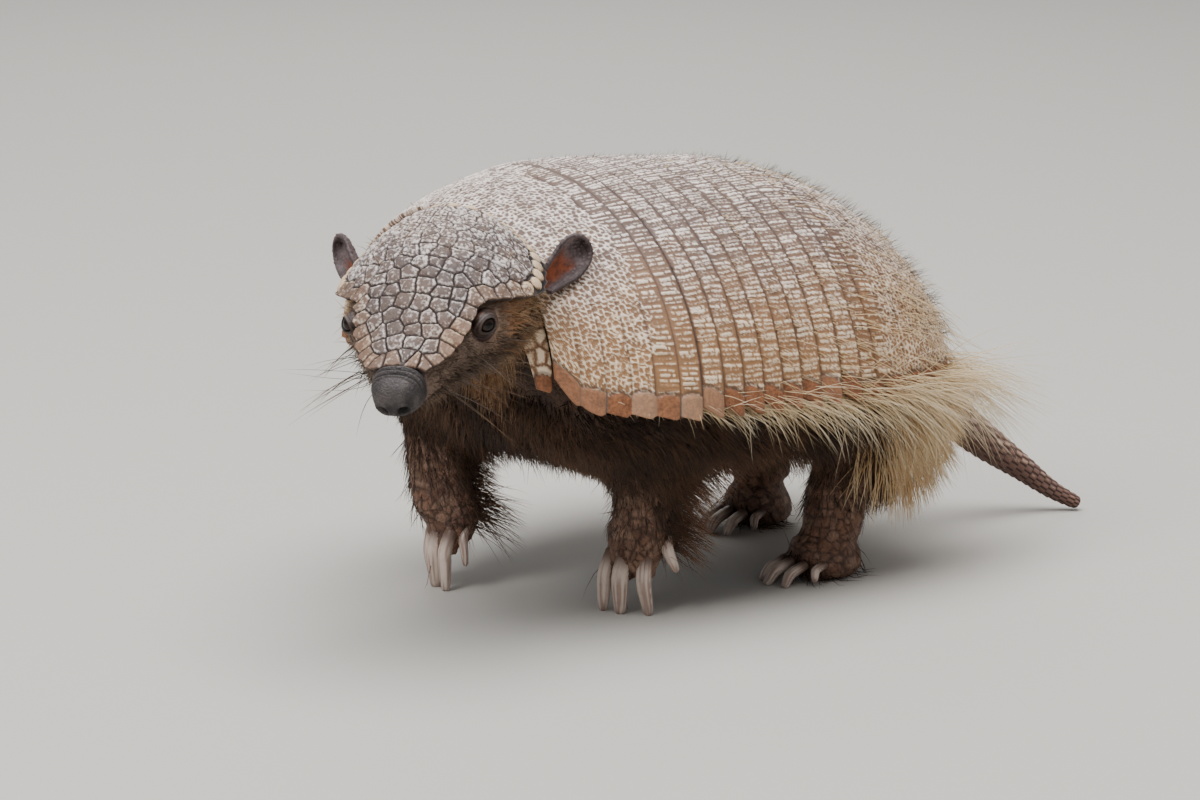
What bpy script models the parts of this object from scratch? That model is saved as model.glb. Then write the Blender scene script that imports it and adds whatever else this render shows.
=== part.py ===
"""A big hairy armadillo in mid step, as closed solids at life size.

Metres, +Z up. The animal faces -Y, its left side is +X, and its feet stand on Z = 0.
Run it with: blender --background --python part.py
"""

import math

import bmesh
import bpy
import numpy as np
from mathutils import Matrix, Vector

MM = 0.001
GAP = 0.3 * MM  # clearance between neighbouring solids
CUT_GROWTH = 1.4 * GAP  # how far a cutter's corners stand out, which leaves GAP over its faces
MERGE = 0.02  # edges of a grid closer than this are one, in mm

# From the body's own origin, on the ground under the middle of the shell, to the centre of the
# base of the whole animal's box, where the model's origin is.
BASE_CENTRE = Vector((0.0, 5.0, 0.0)) * MM

# Finishes: colour, roughness
BONE = ((0.50, 0.41, 0.33), 0.55)
HIDE = ((0.15, 0.09, 0.06), 0.85)
TAIL_HIDE = ((0.36, 0.25, 0.21), 0.7)
EAR_HIDE = ((0.22, 0.15, 0.13), 0.75)
NOSE_HIDE = ((0.05, 0.045, 0.045), 0.5)
HORN = ((0.45, 0.38, 0.32), 0.45)
EYE = ((0.01, 0.008, 0.006), 0.1)

# Carapace, in mm of Y along the midline. Behind the hip it closes as a dome towards a pole.
SHELL_FRONT = -106.0
SHELL_REAR = 119.5
HIP = 10.0
POLE = 123.5
BAND_COUNT = 8
BAND_FRONT = -53.0
BAND_PITCH = 10.35
BAND_STEP = 1.2  # how far each band's rear edge stands over the band behind it
SHELL_THICK = 2.6
SECTION_POWER = 2.0
HALF_WIDTH_KNOTS = [(-115, 66), (-85, 82), (-50, 94.5), (HIP, 88.5)]
CREST_KNOTS = [(-115, 158), (-85, 168), (-50, 172.5), (HIP, 168)]
RIM_KNOTS = [(-115, 94), (-30, 85), (115, 77)]
FAN_KNOTS = [(-115, -3), (-45, -2), (40, 1.5), (POLE, 0)]  # lead of the rim over the crest
FAN_POWER = 2.3
DOME_POWERS = (2.4, 2.2, 1.7)  # along, across and up
SHELL_AROUND = 16
PLATE_GAP = 0.6  # the soft skin between two plates
BAND_BITE = 0.03  # how much shorter a band is at its front corners, as a share
NUCHAL_WIDTH = 10.0
NUCHAL_REACH = 0.92
NUCHAL_SINK = 4.5

# Trunk, under the carapace
TRUNK_FRONT = -112.0
TRUNK_REAR = 118.5
TRUNK_CLEAR = 1.1  # between the plates' inner faces and the flesh
TRUNK_RISE = 8.0  # the height of the trunk's axis over the rim
TRUNK_DOMES = (0.05, 0.04)
BELLY_POWER = 2.9
BELLY_KNOTS = [(-110, 84), (-90, 62), (-55, 54), (0, 52), (55, 55), (95, 60), (121, 72)]

# Head, in its own frame: -Y towards the nose, +X to its left, from the back of the skull.
HEAD_AT = (26.6, -122.7, 144.3)
HEAD_YAW = math.radians(37.5)
HEAD_PITCH = math.radians(18.3)
HEAD_ROLL = math.radians(-2.9)
# distance ahead: half width, height of the centre, height over it, depth under it
HEAD_KNOTS = [
    (-4, (25, -4, 19, 17)),
    (9, (34, -4, 25, 22)),
    (24, (36.5, -5, 27, 22)),
    (40, (33.5, -5, 23, 19)),
    (54, (27.5, -4, 17, 16)),
    (66, (20.5, -5, 12, 13)),
    (76, (14.5, -6, 9.5, 11)),
    (83, (11.5, -6.5, 9, 10.5)),
    (89, (10.5, -6.5, 9, 10.5)),
]
NOSE_FRONT = 96.0
NOSE_BACK = 86.0
NOSE_CENTRE = -6.5
NOSE_HALF = (10.6, 10.2)
NOSE_GAP = 0.4
HEAD_POWER = 2.2
HEAD_DOMES = (0.10, 0.015)
EYE_AT = (25.2, 52.5, 2.0)
EYE_RADIUS = 4.8

# Head shield. distance ahead: half width, height of the crest, drop to the edge
SHIELD_THICK = 2.4
SHIELD_POWER = 2.1
SHIELD_KNOTS = [
    (-8, (15, 22, 6)),
    (-2, (28, 24.5, 15)),
    (8, (38, 26, 22)),
    (23, (41.5, 26, 24.5)),
    (38, (33.5, 22.5, 16)),
    (50, (24.5, 17.5, 7.5)),
    (62, (22, 11.5, 6.5)),
    (74, (17.5, 6, 4.5)),
    (83.5, (11, 2.8, 2.2)),
]

EAR_AT = (39.0, 9.0, -3.0)
EAR_ALONG = (11, -18, 8)
EAR_OPENS = (0.62, 0.75, 0.15)
EAR_LENGTH = 24.0
EAR_HALF = 9.0
EAR_CUP = 4.2
EAR_THICK = 1.2

# Tubes: share of the length: x, y, z, radius across, radius along
NECK_KNOTS = [
    (0.0, (-2, -90, 123, 52, 34)),
    (0.5, (8, -110, 129, 43, 29)),
    (1.0, (30, -131, 140, 30, 20)),
]
TAIL_KNOTS = [
    (0.0, (0, 104, 88, 13, 12)),
    (0.22, (1.5, 128, 69, 11, 10.5)),
    (0.38, (3.5, 147, 50.5, 9, 8.8)),
    (0.56, (8, 167, 33.5, 7.5, 7.5)),
    (0.75, (14, 185, 19.5, 5.4, 5.4)),
    (0.9, (21, 198, 8.5, 3.7, 3.7)),
    (1.0, (27.5, 207, 2.6, 2.7, 2.7)),
]

# Legs: the way from the body to the wrist or ankle
LEGS = {
    "front_left": [
        (0.0, (55, -66, 100, 22, 25)),
        (0.42, (58, -56, 68, 19, 21)),
        (0.76, (53, -50, 44, 13.5, 14)),
        (1.0, (48, -49, 28, 11.5, 12)),
    ],
    "front_right": [
        (0.0, (-50, -64, 100, 20, 22)),
        (0.42, (-48, -76, 68, 19, 19)),
        (0.76, (-38, -83, 44, 14.5, 14)),
        (1.0, (-35, -83, 28, 12, 12)),
    ],
    "hind_left": [
        (0.0, (41, 72, 98, 14, 18)),
        (0.25, (47, 72, 80, 16, 24)),
        (0.5, (54, 67, 57, 18, 28)),
        (0.78, (53, 49, 37, 12.5, 14)),
        (1.0, (50, 48, 16, 11.5, 12.5)),
    ],
    "hind_right": [
        (0.0, (-38, 76, 98, 13, 15)),
        (0.25, (-42, 78, 80, 15, 18)),
        (0.5, (-48, 82, 57, 18, 25)),
        (0.78, (-43, 86, 37, 12.5, 14)),
        (1.0, (-39, 87, 16, 11.5, 12.5)),
    ],
}
ELBOW = 0.58  # the share of a front leg where its upper half ends
ANKLE = 0.74  # and of a hind leg
LEG_DOMES = (0.1, 0.05)
TAIL_DOMES = (0.04, 0.03)
CLAW_DOMES = (0.1, 0.1)

# Feet: centre, half sizes. Claws: root, tip, width. Both are from the foot's own centre on the
# ground, for a left foot that points along -Y.
FRONT_FOOT = ((0, -1, 30), (13.5, 10.5, 16))
FRONT_CLAWS = [
    ((-10, 1, 27), (-14.5, -4, 10), 4.2),
    ((-8, -6, 25), (-9.5, -10.5, -0.8), 6.2),
    ((-0.5, -6, 25), (-1, -9.5, -0.8), 7.4),
    ((7.5, -3.5, 26), (9, -3.5, -0.8), 6.6),
    ((11, 3.5, 35), (16.5, 4.5, 17), 5.4),
]
HIND_FOOT = ((0, 0, 6), (13, 18, 16))
HIND_CLAWS = [
    ((-10.5, -6, 8), (-14, -14.5, 2), 4.0),
    ((-6.5, -12.5, 8), (-7.8, -25, -0.4), 5.0),
    ((0, -14, 8.5), (0, -28, -0.4), 5.4),
    ((6.5, -12.5, 8), (7.8, -24.5, -0.4), 5.0),
    ((10.5, -6, 8), (14, -13.5, 2), 4.0),
]
CLAW_BOW = 2.2  # how far the middle of a claw stands ahead of its chord
FOOT_PLACES = [
    # name, side, front foot, ground point, heading to the left in degrees
    ("front_left", 1, True, (47, -49), 8),
    ("front_right", -1, True, (-34, -80), -2),
    ("hind_left", 1, False, (50, 44), -6),
    ("hind_right", -1, False, (-38.5, 82), 4),
]


def smooth_curve(knots):
    """A function through the knots (x, value or values), smooth and without overshoot."""
    xs = np.array([knot[0] for knot in knots], float)
    ys = np.array([np.atleast_1d(knot[1]) for knot in knots], float)
    slope = np.diff(ys, axis=0) / np.diff(xs)[:, None]
    tangent = np.vstack([slope[:1], np.zeros_like(slope[1:]), slope[-1:]])
    same_way = slope[:-1] * slope[1:] > 0
    total = np.where(same_way, slope[:-1] + slope[1:], 1)
    tangent[1:-1] = np.where(same_way, 2 * slope[:-1] * slope[1:] / total, 0)

    def value(x):
        x = min(max(x, xs[0]), xs[-1])
        i = min(max(int(np.searchsorted(xs, x, side="right")) - 1, 0), len(xs) - 2)
        width = xs[i + 1] - xs[i]
        t = (x - xs[i]) / width
        found = (
            (2 * t**3 - 3 * t**2 + 1) * ys[i]
            + (t**3 - 2 * t**2 + t) * width * tangent[i]
            + (3 * t**2 - 2 * t**3) * ys[i + 1]
            + (t**3 - t**2) * width * tangent[i + 1]
        )
        return float(found[0]) if len(found) == 1 else found

    return value


def add(name, fill, finish, place=Matrix.Identity(4)):
    """Links a new object whose mesh, in mm, the function fills."""
    bm = bmesh.new()
    fill(bm)
    bmesh.ops.recalc_face_normals(bm, faces=bm.faces)
    bmesh.ops.triangulate(bm, faces=bm.faces)
    bmesh.ops.scale(bm, vec=(MM, MM, MM), verts=bm.verts)
    bmesh.ops.transform(bm, matrix=place, verts=bm.verts)
    bmesh.ops.translate(bm, vec=-BASE_CENTRE, verts=bm.verts)
    mesh = bpy.data.meshes.new(name)
    bm.to_mesh(mesh)
    bm.free()
    mesh.shade_smooth()
    colour, roughness = finish
    own = bpy.data.materials.new(name)
    own.use_nodes = True
    shader = own.node_tree.nodes["Principled BSDF"]
    shader.inputs["Base Color"].default_value = (*colour, 1.0)
    shader.inputs["Roughness"].default_value = roughness
    shader.inputs["Metallic"].default_value = 0.0
    mesh.materials.append(own)
    made = bpy.data.objects.new(name, mesh)
    bpy.context.scene.collection.objects.link(made)
    return made


def grown(solid):
    """A cutter: the solid's own mesh, a little larger all round."""
    mesh = solid.data.copy()
    mesh.name = f"{solid.name}_cutter"
    bm = bmesh.new()
    bm.from_mesh(mesh)
    bm.normal_update()
    ways = [vertex.normal.copy() for vertex in bm.verts]
    for vertex, way in zip(bm.verts, ways):
        vertex.co += way * CUT_GROWTH
    bm.to_mesh(mesh)
    bm.free()
    cutter = bpy.data.objects.new(mesh.name, mesh)
    cutter.hide_render = True
    cutter.display_type = "WIRE"
    bpy.context.scene.collection.objects.link(cutter)
    return cutter


def cut(solid, *neighbours):
    """Takes the room of each neighbour, and a gap round it, out of the solid."""
    for neighbour in neighbours:
        modifier = solid.modifiers.new(f"clear_of_{neighbour.name}", "BOOLEAN")
        modifier.operation = "DIFFERENCE"
        modifier.solver = "EXACT"
        modifier.object = grown(neighbour)


def mapped_grid(bm, along, around, place):
    """A grid laid out by place(u, v), with u and v from 0 to 1. Edges that meet are merged."""
    made = bmesh.ops.create_grid(bm, x_segments=along, y_segments=around, size=0.5)
    for vertex in made["verts"]:
        vertex.co = place(vertex.co.x + 0.5, vertex.co.y + 0.5)
    bmesh.ops.remove_doubles(bm, verts=bm.verts, dist=MERGE)


def thickened(bm, thickness):
    """Gives an open sheet a thickness towards its underside."""
    bmesh.ops.recalc_face_normals(bm, faces=bm.faces)
    faces_up = sum(face.normal.z * face.calc_area() for face in bm.faces) > 0
    bmesh.ops.solidify(bm, geom=bm.faces[:], thickness=thickness if faces_up else -thickness)


def flattened(bm):
    """Cuts away what lies under the ground and closes the cut with a flat face."""
    everything = bm.verts[:] + bm.edges[:] + bm.faces[:]
    cut_off = bmesh.ops.bisect_plane(
        bm,
        geom=everything,
        plane_co=(0, 0, 0),
        plane_no=(0, 0, 1),
        clear_inner=True,
    )
    edges = [part for part in cut_off["geom_cut"] if isinstance(part, bmesh.types.BMEdge)]
    if edges:
        bmesh.ops.holes_fill(bm, edges=edges, sides=0)


def superellipse(angle, right, up, power):
    """A point of a superellipse at an angle from +X."""
    c, s = math.cos(angle), math.sin(angle)
    return (
        right * math.copysign(abs(c) ** (2 / power), c),
        up * math.copysign(abs(s) ** (2 / power), s),
    )


def dome(t, start, end):
    """The share of full size of a tube that closes as a dome over its first and last stretch."""
    near = min(1.0, t / start)
    far = min(1.0, (1 - t) / end)
    return math.sqrt(1 - (1 - near) ** 2) * math.sqrt(1 - (1 - far) ** 2)


def closer_at_ends(u, closeness=0.65):
    """Even steps made smaller towards both ends."""
    return u - closeness * math.sin(2 * math.pi * u) / (2 * math.pi)


def tube_point(knots, t, turn, share=1.0):
    """A point on the skin of a tube, turn being a share of the way round."""
    curve = smooth_curve(knots)
    here = curve(t)
    axis = Vector(curve(min(t + 0.03, 1.0))[:3] - curve(max(t - 0.03, 0.0))[:3]).normalized()
    across = Vector((1, 0, 0))
    across = (across - axis * axis.dot(across)).normalized()
    angle = 2 * math.pi * turn
    return (
        Vector(here[:3])
        + across * (here[3] * share * math.cos(angle))
        + axis.cross(across) * (here[4] * share * math.sin(angle))
    )


def tube(knots, along, around, first=0.0, last=1.0, domes=(0.12, 0.12)):
    """Fills a bmesh with the stretch of a tube between two shares of its length."""

    def fill(bm):
        def place(u, v):
            t = closer_at_ends(u)
            share = dome(t, *domes)
            return tube_point(knots, first + (last - first) * t, v, share)

        mapped_grid(bm, along, around, place)

    return fill


# --- carapace ---------------------------------------------------------------------------

half_width_of = smooth_curve(HALF_WIDTH_KNOTS)
crest_of = smooth_curve(CREST_KNOTS)
rim_of = smooth_curve(RIM_KNOTS)
fan_of = smooth_curve(FAN_KNOTS)
belly_of = smooth_curve(BELLY_KNOTS)


def shell_section(y):
    """Half width, crest height and rim height of the carapace at a station."""
    rim = rim_of(y)
    along, across, up = DOME_POWERS
    s = min(max((y - HIP) / (POLE - HIP), 0.0), 1.0)
    width = half_width_of(y) * (1 - s**along) ** (1 / across)
    return width, rim + (crest_of(y) - rim) * math.sqrt(1 - s**up), rim


def bare_shell_point(y, t):
    width, crest, rim = shell_section(y)
    x, z = superellipse(math.pi / 2 * (1 - t), width, crest - rim, SECTION_POWER)
    return Vector((x, y + fan_of(y) * abs(t) ** FAN_POWER, rim + z))


def shell_point(y, t, lift=0.0):
    """A point of the carapace; t runs from -1 at the right rim to 1 at the left one."""
    before, after = max(y - 0.5, SHELL_FRONT - 20), min(y + 0.5, POLE - 1)
    low, high = max(t - 0.01, -1.0), min(t + 0.01, 1.0)
    along = bare_shell_point(after, t) - bare_shell_point(before, t)
    across = bare_shell_point(y, high) - bare_shell_point(y, low)
    return bare_shell_point(y, t) + across.cross(along).normalized() * lift


def plate(name, front, rear, rows, reach=1.0, base=0.0, step=0.0, bite=0.0):
    """A curved plate of the carapace between two stations.

    base is how far its outer face stands out at the front, and step how much more at the rear.
    bite is how much shorter its corners are at the front, which gives the rim its teeth.
    """

    def fill(bm):
        def place(u, v):
            bend = math.sin(u * math.pi / 2) if rear == SHELL_REAR else u
            y = front + (rear - front) * bend
            t = (2 * v - 1) * (reach - bite * (1 - u))
            return shell_point(y, t, base + step * u)

        mapped_grid(bm, rows, SHELL_AROUND, place)
        thickened(bm, SHELL_THICK)

    return add(name, fill, BONE)


def build_shell():
    """The nuchal band, the shoulder shield, the movable bands and the rump shield."""
    plates = [
        plate(
            "nuchal_band",
            SHELL_FRONT - NUCHAL_WIDTH,
            SHELL_FRONT - PLATE_GAP,
            1,
            reach=NUCHAL_REACH,
            base=-NUCHAL_SINK,
        ),
        plate("scapular_shield", SHELL_FRONT, BAND_FRONT - PLATE_GAP, 5, step=BAND_STEP),
    ]
    for i in range(BAND_COUNT):
        front = BAND_FRONT + BAND_PITCH * i
        rear = front + BAND_PITCH - PLATE_GAP
        plates.append(plate(f"band_{i + 1}", front, rear, 1, step=BAND_STEP, bite=BAND_BITE))
    pelvis = BAND_FRONT + BAND_PITCH * BAND_COUNT
    plates.append(plate("pelvic_shield", pelvis, SHELL_REAR, 9))
    return plates


# --- flesh ------------------------------------------------------------------------------


def build_trunk():
    """The body under the carapace, down to the hair of the flanks and the belly."""
    lift = -(SHELL_THICK + TRUNK_CLEAR)

    def fill(bm):
        def place(u, v):
            t = closer_at_ends(u, 0.8)
            y = TRUNK_FRONT + (TRUNK_REAR - TRUNK_FRONT) * t
            rim = rim_of(y)
            centre = Vector((0, y, rim + TRUNK_RISE))
            if v <= 0.5:
                point = shell_point(y, 1 - 4 * v, lift)
            else:
                side = shell_point(y, 1.0, lift)
                angle = -2 * math.pi * (1 - v)
                x, z = superellipse(angle, side.x, rim - belly_of(y), BELLY_POWER)
                point = Vector((x, side.y, side.z + z))
            return centre + (point - centre) * dome(t, *TRUNK_DOMES)

        mapped_grid(bm, 11, 24, place)

    return add("trunk", fill, HIDE)


def head_place():
    """From the head's own frame to the body's."""
    turn = Matrix.Rotation(HEAD_YAW, 4, "Z")
    tip = Matrix.Rotation(HEAD_PITCH, 4, "X")
    roll = Matrix.Rotation(HEAD_ROLL, 4, "Y")
    return Matrix.Translation(Vector(HEAD_AT) * MM) @ turn @ tip @ roll


def build_skull():
    """The head's flesh, from the neck to the nose."""
    curve = smooth_curve(HEAD_KNOTS)
    first, last = HEAD_KNOTS[0][0], NOSE_BACK

    def fill(bm):
        def place(u, v):
            t = 0.5 - 0.5 * math.cos(math.pi * u)
            ahead = first + (last - first) * t
            half, centre, over, under = curve(ahead)
            angle = 2 * math.pi * v
            up = over if math.sin(angle) >= 0 else under
            share = dome(t, *HEAD_DOMES)
            x, z = superellipse(angle, half * share, up * share, HEAD_POWER)
            return Vector((x, -ahead, centre + z))

        mapped_grid(bm, 13, 16, place)

    return add("head", fill, HIDE, head_place())


def build_nose():
    """The bare pad at the end of the snout."""
    half_wide, half_tall = NOSE_HALF

    def fill(bm):
        def place(u, v):
            ahead = NOSE_BACK + NOSE_GAP + (NOSE_FRONT - NOSE_BACK) * u
            share = max(0.0, 1 - u**2.6) ** 0.45 if u else 0.0
            angle = 2 * math.pi * v
            x, z = superellipse(angle, half_wide * share, half_tall * share, 2.3)
            return Vector((x, -ahead, NOSE_CENTRE + z))

        mapped_grid(bm, 5, 14, place)

    return add("nose", fill, NOSE_HIDE, head_place())


def build_head_shield():
    """The bony plate over the crown, from the neck to the root of the nose."""
    curve = smooth_curve(SHIELD_KNOTS)
    first, last = SHIELD_KNOTS[0][0], SHIELD_KNOTS[-1][0]

    def fill(bm):
        def place(u, v):
            ahead = first + (last - first) * u
            half, crest, drop = curve(ahead)
            across = 2 * v - 1
            return Vector((half * across, -ahead, crest - drop * abs(across) ** SHIELD_POWER))

        mapped_grid(bm, 10, 10, place)
        thickened(bm, SHIELD_THICK)

    return add("head_shield", fill, BONE, head_place())


def build_ear(name, side):
    """A cupped leaf that opens forwards and outwards."""
    axis = Vector((EAR_ALONG[0] * side, -EAR_ALONG[1], EAR_ALONG[2])).normalized()
    opens = Vector((EAR_OPENS[0] * side, -EAR_OPENS[1], EAR_OPENS[2]))
    opens = (opens - axis * opens.dot(axis)).normalized()
    across = axis.cross(opens)
    root = Vector((EAR_AT[0] * side, -EAR_AT[1], EAR_AT[2]))

    def fill(bm):
        def place(u, v):
            t = 0.98 * u
            half = EAR_HALF * (0.5 + 0.95 * t) * math.sqrt(1 - t**3) * 0.9
            sideways = 2 * v - 1
            cup = EAR_CUP * (1 - sideways**2) * (1 - 0.5 * t)
            return root + axis * (EAR_LENGTH * t) + across * (half * sideways) - opens * cup

        mapped_grid(bm, 5, 6, place)
        bmesh.ops.solidify(bm, geom=bm.faces[:], thickness=EAR_THICK)

    return add(name, fill, EAR_HIDE, head_place())


def build_eye(name, side):
    def fill(bm):
        x, ahead, z = EYE_AT
        spot = Matrix.Translation((x * side, -ahead, z))
        bmesh.ops.create_uvsphere(
            bm, u_segments=10, v_segments=7, radius=EYE_RADIUS, matrix=spot
        )

    return add(name, fill, EYE, head_place())


def build_head():
    """The head with its shield, nose, ears and eyes. Gives them back as a dictionary."""
    pieces = {
        "head": build_skull(),
        "nose": build_nose(),
        "head_shield": build_head_shield(),
    }
    for side, name in ((1, "left"), (-1, "right")):
        pieces[f"ear_{name}"] = build_ear(f"ear_{name}", side)
        pieces[f"eye_{name}"] = build_eye(f"eye_{name}", side)
    others = [piece for name, piece in pieces.items() if name != "head"]
    cut(pieces["head"], *others)
    return pieces


def build_foot(name, side, front, ground, heading, shank):
    """A foot with its five claws, on the ground, and the shank cut clear of it."""
    (cx, cy, cz), (hx, hy, hz) = FRONT_FOOT if front else HIND_FOOT
    heading = Matrix.Rotation(math.radians(heading), 4, "Z")
    place = Matrix.Translation(Vector((*ground, 0)) * MM) @ heading
    claws = []

    def fill_foot(bm):
        shape = Matrix.Translation((cx * side, cy, cz)) @ Matrix.Diagonal((hx, hy, hz, 1))
        bmesh.ops.create_uvsphere(bm, u_segments=10, v_segments=7, radius=1.0, matrix=shape)
        if not front:
            flattened(bm)

    foot = add(f"foot_{name}", fill_foot, HIDE, place)
    for i, (root, tip, width) in enumerate(FRONT_CLAWS if front else HIND_CLAWS):
        start = Vector((root[0] * side, root[1], root[2]))
        finish = Vector((tip[0] * side, tip[1], tip[2]))
        middle = (start + finish) / 2 + Vector((0, -CLAW_BOW, 0.5 * CLAW_BOW))
        half = width / 2
        knots = [
            (0.0, (*start, half * 0.9, half * 0.8)),
            (0.5, (*middle, half, half * 0.85)),
            (1.0, (*finish, half * 0.42, half * 0.42)),
        ]

        def fill_claw(bm, knots=knots):
            tube(knots, 4, 7, domes=CLAW_DOMES)(bm)
            flattened(bm)

        claws.append(add(f"claw_{name}_{i + 1}", fill_claw, HORN, place))
    cut(foot, *claws)
    cut(shank, foot, *claws)
    return foot


def build_leg(name, knots, joint):
    """The upper and the lower half of a leg, with a cut between them."""
    upper = add(f"upper_leg_{name}", tube(knots, 7, 10, 0.0, joint, LEG_DOMES), HIDE)
    lower = add(f"lower_leg_{name}", tube(knots, 5, 10, joint, 1.0, LEG_DOMES), HIDE)
    cut(lower, upper)
    return upper, lower


def build_tail():
    """The tail, from under the rump shield to its tip on the ground."""

    def fill(bm):
        tube(TAIL_KNOTS, 11, 10, domes=TAIL_DOMES)(bm)
        flattened(bm)

    return add("tail", fill, TAIL_HIDE)


def main():
    for old in list(bpy.data.objects):
        bpy.data.objects.remove(old)
    plates = build_shell()
    trunk = build_trunk()
    head = build_head()
    cut(head["head"], *plates[:2])
    neck = add("neck", tube(NECK_KNOTS, 5, 14), HIDE)
    cut(neck, trunk, head["head"], head["head_shield"], *plates[:2])
    cut(build_tail(), trunk, plates[-1])
    for name, side, front, ground, heading in FOOT_PLACES:
        upper, lower = build_leg(name, LEGS[name], ELBOW if front else ANKLE)
        build_foot(name, side, front, ground, heading, lower)
        cut(upper, trunk)
        cut(lower, trunk)


main()
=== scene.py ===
"""A big hairy armadillo in mid step: scutes, skin, claws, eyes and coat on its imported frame.

The classes work in millimetres from the body's own origin, on the ground under the middle of the
shell. +Z is up, the animal faces -Y and its left side is +X. Meshes are written in metres, in the
frame's own place.
"""

import logging
import math
from contextlib import contextmanager
from dataclasses import dataclass
from enum import Enum
from typing import Any, Callable, Iterator, Sequence

import bmesh
import bpy
import numpy as np
from mathutils import Matrix, Vector
from mathutils.bvhtree import BVHTree
from mathutils.kdtree import KDTree


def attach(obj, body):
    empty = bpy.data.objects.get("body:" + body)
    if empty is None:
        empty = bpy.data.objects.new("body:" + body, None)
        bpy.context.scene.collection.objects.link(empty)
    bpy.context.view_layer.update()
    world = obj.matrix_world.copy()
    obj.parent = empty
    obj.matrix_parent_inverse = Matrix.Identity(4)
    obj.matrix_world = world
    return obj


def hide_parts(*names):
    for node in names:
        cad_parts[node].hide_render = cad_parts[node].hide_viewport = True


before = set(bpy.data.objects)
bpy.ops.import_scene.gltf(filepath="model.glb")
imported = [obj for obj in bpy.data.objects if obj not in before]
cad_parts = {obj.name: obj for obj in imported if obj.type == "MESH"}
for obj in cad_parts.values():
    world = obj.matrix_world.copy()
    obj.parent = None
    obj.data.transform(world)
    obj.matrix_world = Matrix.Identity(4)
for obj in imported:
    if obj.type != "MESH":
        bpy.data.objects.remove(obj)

log = logging.getLogger("armadillo")

MM = 0.001
BODY_ORIGIN = np.array((0.0, 5.0, 0.0))  # the frame's origin, from the body's own, in mm
BODY_REACH = 109.5  # how far to the sides hair may reach in mm
GROUND_GAP = 0.45  # how far above the ground hair stays in mm
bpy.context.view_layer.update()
Array = np.ndarray
Knots = Sequence[tuple[float, ...]]
Colour = tuple[float, float, float, float]
Edge = tuple[tuple[float, float], ...]
Mesh, Piece, Material = bpy.types.Mesh, bpy.types.Object, bpy.types.Material
Parts = bmesh.types.BMesh


def tint(red: int, green: int, blue: int) -> Colour:
    """A linear colour from the usual 0 to 255 values.

    Args:
        red: the share of red.
        green: the share of green.
        blue: the share of blue.

    Returns:
        The colour, with full cover.
    """

    def linear(value: int) -> float:
        """One channel, from 0 to 1."""
        share = value / 255
        return share / 12.92 if share <= 0.04045 else ((share + 0.055) / 1.055) ** 2.4

    return (linear(red), linear(green), linear(blue), 1.0)


# --- numbers over arrays -------------------------------------------------------------------


def smoothstep(low: float, high: float, value: Array) -> Array:
    """A smooth rise from 0 at low to 1 at high; low may be the larger one."""
    share = np.clip((value - low) / (high - low), 0.0, 1.0)
    return share * share * (3 - 2 * share)


def unit(vectors: Array) -> Array:
    """Vectors of length one, along the last axis."""
    return vectors / np.maximum(np.linalg.norm(vectors, axis=-1, keepdims=True), 1e-9)


def round_off(edge: Array, reach: float) -> Array:
    """The height share of a pad that rounds off within reach of its edge."""
    return np.sqrt(1 - (1 - np.clip(edge / reach, 0.0, 1.0)) ** 2)


def chance(cells: Array, seed: int) -> Array:
    """A steady random number from 0 to 1 for each whole-number cell.

    Args:
        cells: whole numbers, one row for each cell.
        seed: picks another set of numbers.

    Returns:
        One number for each row.
    """
    primes = np.array((73856093, 19349663, 83492791), np.int64)[: cells.shape[1]]
    mixed = (cells.astype(np.int64) * primes).sum(axis=1) + seed * 1013904223
    mixed = ((mixed ^ (mixed >> 13)) * 1274126177) & 0x7FFFFFFF
    mixed = ((mixed ^ (mixed >> 15)) * 668265263) & 0x7FFFFFFF
    return ((mixed >> 8) & 0xFFFF) / 65535.0


def chances(cells: Array, seed: int, count: int) -> Array:
    """Several steady random numbers for each whole-number cell, one column for each."""
    return np.stack([chance(cells, seed + k) for k in range(count)], axis=1)


def scute_tone(index: Array, spread: tuple[int, int], seed: int) -> Array:
    """A steady random number from 0 to 1 for each scute's index."""
    return chance(np.stack([index, index * spread[0] % spread[1]], axis=1), seed)


def running(steps: Array) -> Array:
    """The running total of the steps, from 0."""
    return np.concatenate(([0], np.cumsum(steps)))


def steps_along(line: Array) -> Array:
    """How far each point of a line is from the one before it."""
    return np.linalg.norm(np.diff(line, axis=0), axis=1)


def drift(points: Array, size: float, seed: int) -> Array:
    """Smooth noise from 0 to 1 over space.

    Args:
        points: places in mm, one row each.
        size: the width of one patch of the noise in mm.
        seed: picks another pattern.

    Returns:
        One number for each place.
    """
    scaled = points / size
    base = np.floor(scaled)
    share = scaled - base
    share = share * share * (3 - 2 * share)
    total = np.zeros(len(points))
    for corner in np.ndindex(*(2,) * points.shape[1]):
        weight = np.prod(np.where(np.array(corner) == 1, share, 1 - share), axis=1)
        total += weight * chance(base + np.array(corner), seed)
    return total


def sway(points: Array, size: float, seed: int) -> Array:
    """Smooth moves from -0.5 to 0.5 in each direction, for places in mm."""
    return np.stack([drift(points, size, seed + k) for k in range(3)], axis=1) - 0.5


def tree_of(points: Array) -> KDTree:
    """The points, sorted for searching.

    Args:
        points: places in mm.

    Returns:
        The tree.
    """
    tree = KDTree(len(points))
    for index, point in enumerate(points):
        tree.insert(point, index)
    tree.balance()
    return tree


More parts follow.
